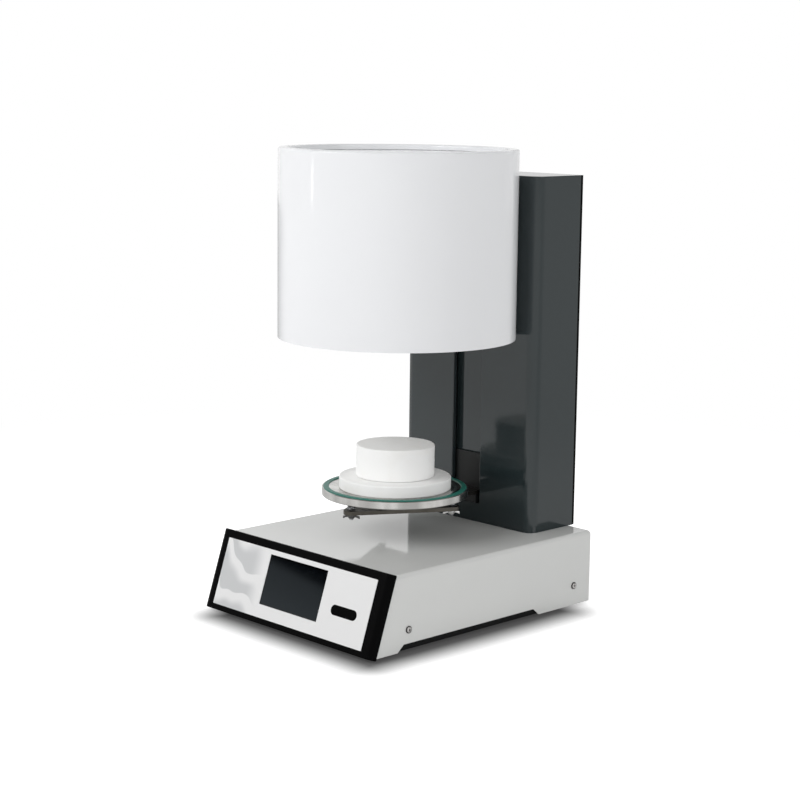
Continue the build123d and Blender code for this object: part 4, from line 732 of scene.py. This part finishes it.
# ------------------------------------------------------------------------ column
# The column's cover is folded and welded sheet, stoved in anthracite gloss. The
# shield behind the slot is a strip of the same, and the back is satin black. Where
# they meet, both edges are painted black without reflection: painted shade of a gap.
gap_shade_black = tint(2, 2, 2)
gap_shade_blur = 0.1 * mm


def painted_gap_shade(finish, gap_mask):
    """Paints black without reflection where the mask is 1: painted shade of a gap."""
    painted = Value(finish, finish.shader.inputs["Base Color"].links[0].from_socket)
    finish.surface(Base_Color=finish.blend(gap_mask, painted, gap_shade_black), Metallic=gap_mask)


anthracite = sprayed("anthracite_gloss", tint(40, 49, 51), 0.1, 0.006 * mm, 0.04)
# The cover's rear edge is painted black: painted shade of the gap at the back panel.
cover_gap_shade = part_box("column_cover")[1].y - 1.3 * mm
rearwards = anthracite.split(anthracite.place())[1]
painted_gap_shade(anthracite, rearwards.ramp(cover_gap_shade, cover_gap_shade + gap_shade_blur))
coat(anthracite, "column_cover", "slot_shield")
back_black = sprayed("back_black", tint(20, 21, 22), 0.34, 0.016 * mm, 0.1)
# The back panel's side edges are painted black: painted shade of the same gap.
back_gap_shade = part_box("column_back_panel")[1].x - 1.0 * mm
off_middle = abs(back_black.split(back_black.place())[0])
painted_gap_shade(back_black, off_middle.ramp(back_gap_shade, back_gap_shade + gap_shade_blur))
coat(back_black, "column_back_panel")

# ------------------------------------------------------------------- lift drive
# Milled aluminium blocks, ground rods, bearings and a screw driven by a stepper
# motor through a slit coupling. Cutter marks run along the milled faces.
milled = Finish("milled_aluminium")
strokes = {"wave_type": "BANDS", "bands_direction": "DIAGONAL"}
passes = milled.node(
    "ShaderNodeTexWave", strokes, milled.place(), Scale=420.0, Distortion=1.5, Detail=2.0,
)
satin = milled.cloud(0.01, 4.0)
milled.surface(
    Base_Color=milled.blend(satin, tint(178, 181, 184), tint(208, 210, 212)),
    Metallic=1.0,
    Roughness=0.26 + satin * 0.14,
)
milled.relief(passes, 0.006 * mm)
coat(milled, "lower_end_block", "upper_end_block", "shaft_coupling", "lift_carriage")

ground = Finish("ground_rod")
oil = ground.cloud(0.012, 3.0)
hairs = ground.cloud(0.2 * mm, 2.0, where=ground.place(size=(1, 1, 30)))
ground.surface(
    Base_Color=ground.blend(oil, tint(196, 197, 198), tint(220, 220, 220)),
    Metallic=1.0,
    Roughness=0.1 + oil * 0.08,
)
ground.relief(hairs, 0.003 * mm)
coat(ground, "guide_rods", "motor_shaft")

hardened = Finish("hardened_steel")
rings = hardened.cloud(0.3 * mm, 2.0, where=hardened.place(size=(20, 20, 1)))
hardened.surface(
    Base_Color=hardened.blend(rings, tint(150, 152, 156), tint(188, 190, 193)),
    Metallic=1.0,
    Roughness=0.18 + rings * 0.1,
)
hardened.relief(rings, 0.004 * mm)
coat(hardened, "linear_bearings", "screw_bearings")


thread_reach = 9 * mm       # of a thread round its axis


def threaded(name, axes, pitch, depth, dark, bright):
    """Steel with a thread that winds round upright axes at these places. Its roots are painted
    dark and its crests light: painted shade and highlight.
    """
    steel = Finish(name)
    crest_highlight_share = None
    for centre in axes:
        x, y, z = steel.split(steel.place(centre))
        turn = y.maths("ARCTAN2", x) / (2 * pi)
        near = (x * x + y * y) < thread_reach ** 2
        winding = (z / pitch - turn).maths("FRACT")
        one = (1 - abs(winding - 0.5) * 2) * near
        crest_highlight_share = one if crest_highlight_share is None else crest_highlight_share + one
    # The thread is painted dark in its roots and light on its crests: painted shade and
    # highlight.
    steel.surface(
        Base_Color=steel.blend(crest_highlight_share, dark, bright),
        Metallic=1.0,
        Roughness=0.3 - crest_highlight_share * 0.12,
    )
    steel.relief(crest_highlight_share, depth)
    return steel


screw_low, screw_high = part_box("lead_screw")
screw_middle = ((screw_low.x + screw_high.x) / 2, (screw_low.y + screw_high.y) / 2, 0)
rolled_screw = threaded(
    "rolled_screw", [screw_middle], 4 * mm, 0.5 * mm, tint(120, 120, 122), tint(200, 201, 203),
)
coat(rolled_screw, "lead_screw")

motor_middle = (0, 0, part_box("lift_motor")[1].z - 25 * mm)
cap_start = 14 * mm
motor = Finish("motor_body")
caps = abs(motor.split(motor.place(motor_middle))[2]) > cap_start
stacked = {"wave_type": "BANDS", "bands_direction": "Z"}
laminations = motor.node("ShaderNodeTexWave", stacked, motor.place(), Scale=320.0)
cast = motor.cloud(1.5 * mm, 3.0)
cast_grey = motor.blend(cast, tint(150, 152, 154), tint(182, 184, 186))
motor.surface(
    Base_Color=motor.blend(caps, tint(34, 34, 36), cast_grey),
    Metallic=caps,
    Roughness=0.38 + cast * 0.1,
)
motor.relief(laminations * (1 - caps) + cast * 0.2, 0.05 * mm)
coat(motor, "lift_motor")

# -------------------------------------------------------------- bracket and arm
# The bracket that rides behind the slot and the short arm on it are laser-cut
# steel, powder-coated in fine-textured matt black. The star plate is left bare.
powder = Finish("black_powder_coat")
speck = powder.cloud(0.45 * mm, 3.0, 0.6)
rubs = powder.cloud(0.012, 6.0, 0.7).ramp(0.58, 0.8)
powder.surface(
    Base_Color=powder.blend(rubs, tint(15, 17, 17), tint(38, 40, 40)),
    Roughness=0.46 - rubs * 0.12,
    Specular_IOR_Level=0.35,
)
powder.relief(speck, 0.03 * mm)
coat(powder, "lift_bracket", "lift_arm")

plate = Finish("bare_plate_steel")
rolled = plate.cloud(0.4 * mm, 3.0, where=plate.place(size=(12, 1, 1)))
warmed = plate.cloud(0.02, 4.0, 0.6)
plate.surface(
    Base_Color=plate.blend(warmed, tint(62, 59, 54), tint(104, 101, 95)),
    Metallic=1.0,
    Roughness=0.3 + rolled * 0.14,
)
plate.relief(rolled, 0.01 * mm)
coat(plate, "star_plate")

# ------------------------------------------------------------- levelling springs
# Three closed-wire compression springs stand between the star plate and the
# platform. They are wound spring steel, zinc-plated, with their ends cut square.
spring_low, spring_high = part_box("levelling_springs")
spring_wire = 0.6 * mm
spring_radius = 4.2 * mm
spring_turns = 3.0
spring_steps = 84
star_reach = 67.0 * mm
adjusters = []
for order in range(3):
    turn = radians(-90 + 120 * order)
    adjusters.append((star_reach * cos(turn), lift_axis_y + star_reach * sin(turn)))
begin()
bpy.ops.mesh.primitive_circle_add(
    vertices=10, radius=spring_wire,
    location=(spring_radius, 0, spring_wire), rotation=(radians(90), 0, 0),
)
coil = bpy.context.object
bpy.ops.object.transform_apply(location=True, rotation=True)
apply_modifier(
    coil, "SCREW", angle=spring_turns * 2 * pi,
    screw_offset=spring_high.z - spring_low.z - 2 * spring_wire,
    steps=spring_steps, render_steps=spring_steps,
    use_merge_vertices=True, use_normal_calculate=True,
)
alone(coil)
bpy.ops.object.mode_set(mode="EDIT")
bpy.ops.mesh.select_all(action="SELECT")
bpy.ops.mesh.fill_holes(sides=0)
bpy.ops.mesh.normals_make_consistent(inside=False)
bpy.ops.object.mode_set(mode="OBJECT")
coils = []
for x, y in adjusters:
    coils.append(moved_copy(coil, Matrix.Translation((x, y, spring_low.z))))
bpy.data.objects.remove(coil)
spring_steel = Finish("spring_steel")
plating = spring_steel.cloud(1.0 * mm, 4.0)
spring_steel.surface(
    Base_Color=spring_steel.blend(plating, tint(150, 152, 155), tint(202, 204, 206)),
    Metallic=1.0,
    Roughness=0.2 + plating * 0.12,
)
spring_steel.relief(plating, 0.01 * mm)
coil_set = joined("levelling_coils", coils)
fit(coil_set, spring_steel, "lift", ["levelling_springs"], 60)

# ------------------------------------------------- levelling screws and wing nuts
# Rolled screws hang from the platform through the star plate. Cast wing nuts with
# rounded ears turn on them, and the front nut is painted darker than the others.
thread_axes = [(x, y, 0) for x, y in adjusters]
levelling_thread = threaded(
    "levelling_thread", thread_axes, 0.8 * mm, 0.2 * mm, tint(110, 110, 112), tint(206, 207, 208),
)
coat(levelling_thread, "levelling_screws")

plate_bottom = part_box("wing_nuts")[1].z
nut_depth = 4.2 * mm
hub_radius_below = 3.7 * mm
hub_radius_above = 4.6 * mm
ear_size = (3.0 * mm, 2.2 * mm, 2.2 * mm)
ear_height = -2.6 * mm
ear_steps = ((2.2 * mm, -0.9 * mm, 1.3), (1.4 * mm, -0.4 * mm, 1.1))
nut_turns = (34, 58, 101)
begin()
bpy.ops.mesh.primitive_cone_add(
    vertices=28, radius1=hub_radius_below, radius2=hub_radius_above,
    depth=nut_depth, location=(0, 0, -nut_depth / 2),
)
hub = bpy.context.object
bpy.ops.object.transform_apply(location=True)
pick_faces(hub, lambda centre, normal: normal.z < -0.9)
bpy.ops.mesh.inset(thickness=0.5 * mm, depth=0.35 * mm)
apply_modifier(hub, "BEVEL", width=0.25 * mm, segments=2, limit_method="ANGLE")
nut_parts = [hub]
for side in (-1, 1):
    begin()
    bpy.ops.mesh.primitive_cube_add(size=1, location=(side * hub_radius_above, 0, ear_height))
    ear = bpy.context.object
    ear.scale = ear_size
    bpy.ops.object.transform_apply(location=True, scale=True)
    pick_faces(ear, lambda centre, normal: normal.x * side > 0.9)
    for out, down, height in ear_steps:
        move = {"value": (side * out, 0, down)}
        bpy.ops.mesh.extrude_region_move(TRANSFORM_OT_translate=move)
        bpy.ops.transform.resize(value=(1, 0.8, height))
    bpy.ops.object.mode_set(mode="OBJECT")
    apply_modifier(ear, "BEVEL", width=0.3 * mm, segments=1, limit_method="ANGLE")
    apply_modifier(ear, "SUBSURF", levels=2, render_levels=2)
    nut_parts.append(ear)
nut = joined("wing_nut", nut_parts)
nuts = []
for (x, y), turned in zip(adjusters, nut_turns):
    seat = Matrix.Translation((x, y, plate_bottom))
    nuts.append(moved_copy(nut, seat @ Matrix.Rotation(radians(turned), 4, "Z")))
bpy.data.objects.remove(nut)
nut_steel = Finish("cast_nut_steel")
skin = nut_steel.cloud(0.9 * mm, 5.0, 0.6)
rearwards = nut_steel.split(nut_steel.place((0, lift_axis_y, 0)))[1]
# The nut at the front is painted darker than the two behind it.
front_darkening = 1 - rearwards.ramp(-50 * mm, -20 * mm)
cast_skin = nut_steel.blend(skin, tint(184, 184, 184), tint(226, 226, 224))
nut_steel.surface(
    Base_Color=nut_steel.blend(front_darkening * 0.85, cast_skin, tint(46, 45, 46)),
    Metallic=1.0,
    Roughness=0.22 + skin * 0.2,
)
nut_steel.relief(skin, 0.03 * mm)
fit(joined("wing_nuts_cast", nuts), nut_steel, "lift", ["wing_nuts"], 40)

# ---------------------------------------------------------------------- platform
# The platform is turned from stainless steel, its rim brushed and its dish
# polished. The chamber's flange and the drum's floor are the same steel.
def turned_steel(name, dark, bright, roughness, line, depth, patch=0.5):
    """Steel with fine tool lines round the lift's axis, and painted reflection bands across them.
    """
    steel = Finish(name)
    x, y, z = steel.split(steel.place((0, lift_axis_y, 0)))
    radius = (x * x + y * y).maths("SQRT")
    angle = y.maths("ARCTAN2", x)
    round_axis = steel.node("ShaderNodeCombineXYZ", None, radius, z, angle * 0.0006)
    lines = steel.cloud(line, 2.0, where=round_axis)
    banded = steel.node("ShaderNodeCombineXYZ", None, radius * 8, z * 3, angle)
    painted_reflection_bands = steel.cloud(patch, 3.0, 0.5, where=banded).ramp(0.36, 0.64)
    # Light and dark bands by angle round the axis are painted reflections; the fine lines are
    # real tool marks.
    steel.surface(
        Base_Color=steel.blend(painted_reflection_bands * 0.6 + lines * 0.4, dark, bright),
        Metallic=1.0,
        Roughness=roughness + lines * 0.1 + painted_reflection_bands * 0.06,
    )
    steel.relief(lines, depth)
    return steel


platform_steel = turned_steel(
    "turned_platform", tint(138, 137, 134), tint(226, 225, 222), 0.13, 0.35 * mm, 0.006 * mm, 0.4,
)
coat(platform_steel, "platform_dish")
flange_steel = turned_steel(
    "turned_flange", tint(158, 158, 156), tint(200, 200, 197), 0.2, 0.5 * mm, 0.008 * mm,
)
coat(flange_steel, "chamber_flange", "drum_floor")

# ------------------------------------------------------------------- vacuum seal
# A ring of green-blue silicone lies in the platform's groove and stands a little
# above it. It is cut from moulded sheet, smooth, with a slight bloom.
seal = Finish("seal_silicone")
bloom = seal.cloud(6 * mm, 5.0, 0.65)
seal.surface(
    Base_Color=seal.blend(bloom, tint(22, 98, 86), tint(44, 122, 108)),
    Roughness=0.34 + bloom * 0.14,
    IOR=1.42,
)
seal.relief(seal.cloud(1.0 * mm, 2.0), 0.01 * mm)
coat(seal, "seal_ring")

# ----------------------------------------------------------------------- ceramics
# Base disc and firing table are pressed from white ceramic fibre, fired and
# ground: matt, finely porous, with a few faint marks from earlier firings.
pressed = Finish("pressed_ceramic")
pores = pressed.cloud(0.7 * mm, 4.0, 0.6)
holes = pressed.node("ShaderNodeTexVoronoi", cells, pressed.place(), Scale=520.0)
shaded_pinholes = 1 - holes.ramp(0.05, 0.2)
stain = pressed.cloud(0.035, 4.0, 0.6).ramp(0.5, 0.8)
# The pinholes are sunk by the bump and also painted darker: painted shade in them.
fired = pressed.blend(shaded_pinholes * 0.5, tint(249, 249, 248), tint(233, 232, 229))
pressed.surface(
    Base_Color=pressed.blend(stain * 0.35, fired, tint(238, 236, 230)),
    Roughness=0.82 + pores * 0.1,
    Specular_IOR_Level=0.3,
)
pressed.relief(pores - shaded_pinholes * 0.8, 0.05 * mm)
coat(pressed, "base_disc", "firing_table")

# -------------------------------------------------------------------------- drum
# The drum is rolled sheet with a curled rim and a pressed lid with twelve vents.
# Both are stoved in brilliant white gloss.
drum_white = sprayed("drum_white", tint(236, 237, 239), 0.1, 0.006 * mm, 0.01)
coat(drum_white, "drum_shell", "drum_lid")

# ------------------------------------------------------------- heating chamber
# Vacuum-formed fibre rings surround a quartz muffle with the heating wire wound
# inside it. The wire shows through the glass as an even coil.
fibre = Finish("fibre_board")
tufts = fibre.cloud(1.6 * mm, 7.0, 0.7)
scorch = fibre.cloud(0.03, 4.0).ramp(0.45, 0.8)
felted = fibre.blend(tufts, tint(226, 222, 212), tint(242, 240, 234))
fibre.surface(
    Base_Color=fibre.blend(scorch * 0.5, felted, tint(214, 202, 182)),
    Roughness=0.92,
    Specular_IOR_Level=0.2,
)
fibre.relief(tufts, 0.25 * mm)
coat(fibre, "hearth_ring", "side_insulation", "roof_insulation")

wire_pitch = 5.2 * mm
wire_half_share = 0.17      # of the pitch
quartz = Finish("quartz_and_wire")
x, y, z = quartz.split(quartz.place((0, lift_axis_y, 0)))
winding = z / wire_pitch - y.maths("ARCTAN2", x) / (2 * pi)
wire = abs(winding.maths("FRACT") - 0.5) < wire_half_share
milk = quartz.cloud(8 * mm, 4.0)
milky = quartz.blend(milk, tint(214, 214, 208), tint(234, 234, 230))
quartz.surface(
    Base_Color=quartz.blend(wire, milky, tint(112, 84, 66)),
    Roughness=0.16 + milk * 0.14 + wire * 0.1,
    IOR=1.46,
)
quartz.relief(wire.ramp(0.0, 1.0), 0.2 * mm)
coat(quartz, "heating_muffle")

glazed = Finish("glazed_porcelain")
glaze = glazed.cloud(3 * mm, 3.0)
glazed.surface(
    Base_Color=glazed.blend(glaze, tint(226, 225, 218), tint(240, 239, 234)),
    Roughness=0.14 + glaze * 0.12,
)
glazed.relief(glaze, 0.03 * mm)
coat(glazed, "thermocouple", "heater_terminals")

# The vacuum line is a clear-grey silicone tube.
tube = Finish("silicone_tube")
dull = tube.cloud(4 * mm, 4.0)
tube.surface(
    Base_Color=tube.blend(dull, tint(196, 198, 194), tint(216, 218, 214)),
    Roughness=0.4 + dull * 0.15,
)
tube.relief(tube.cloud(1 * mm, 2.0), 0.02 * mm)
coat(tube, "vacuum_line")
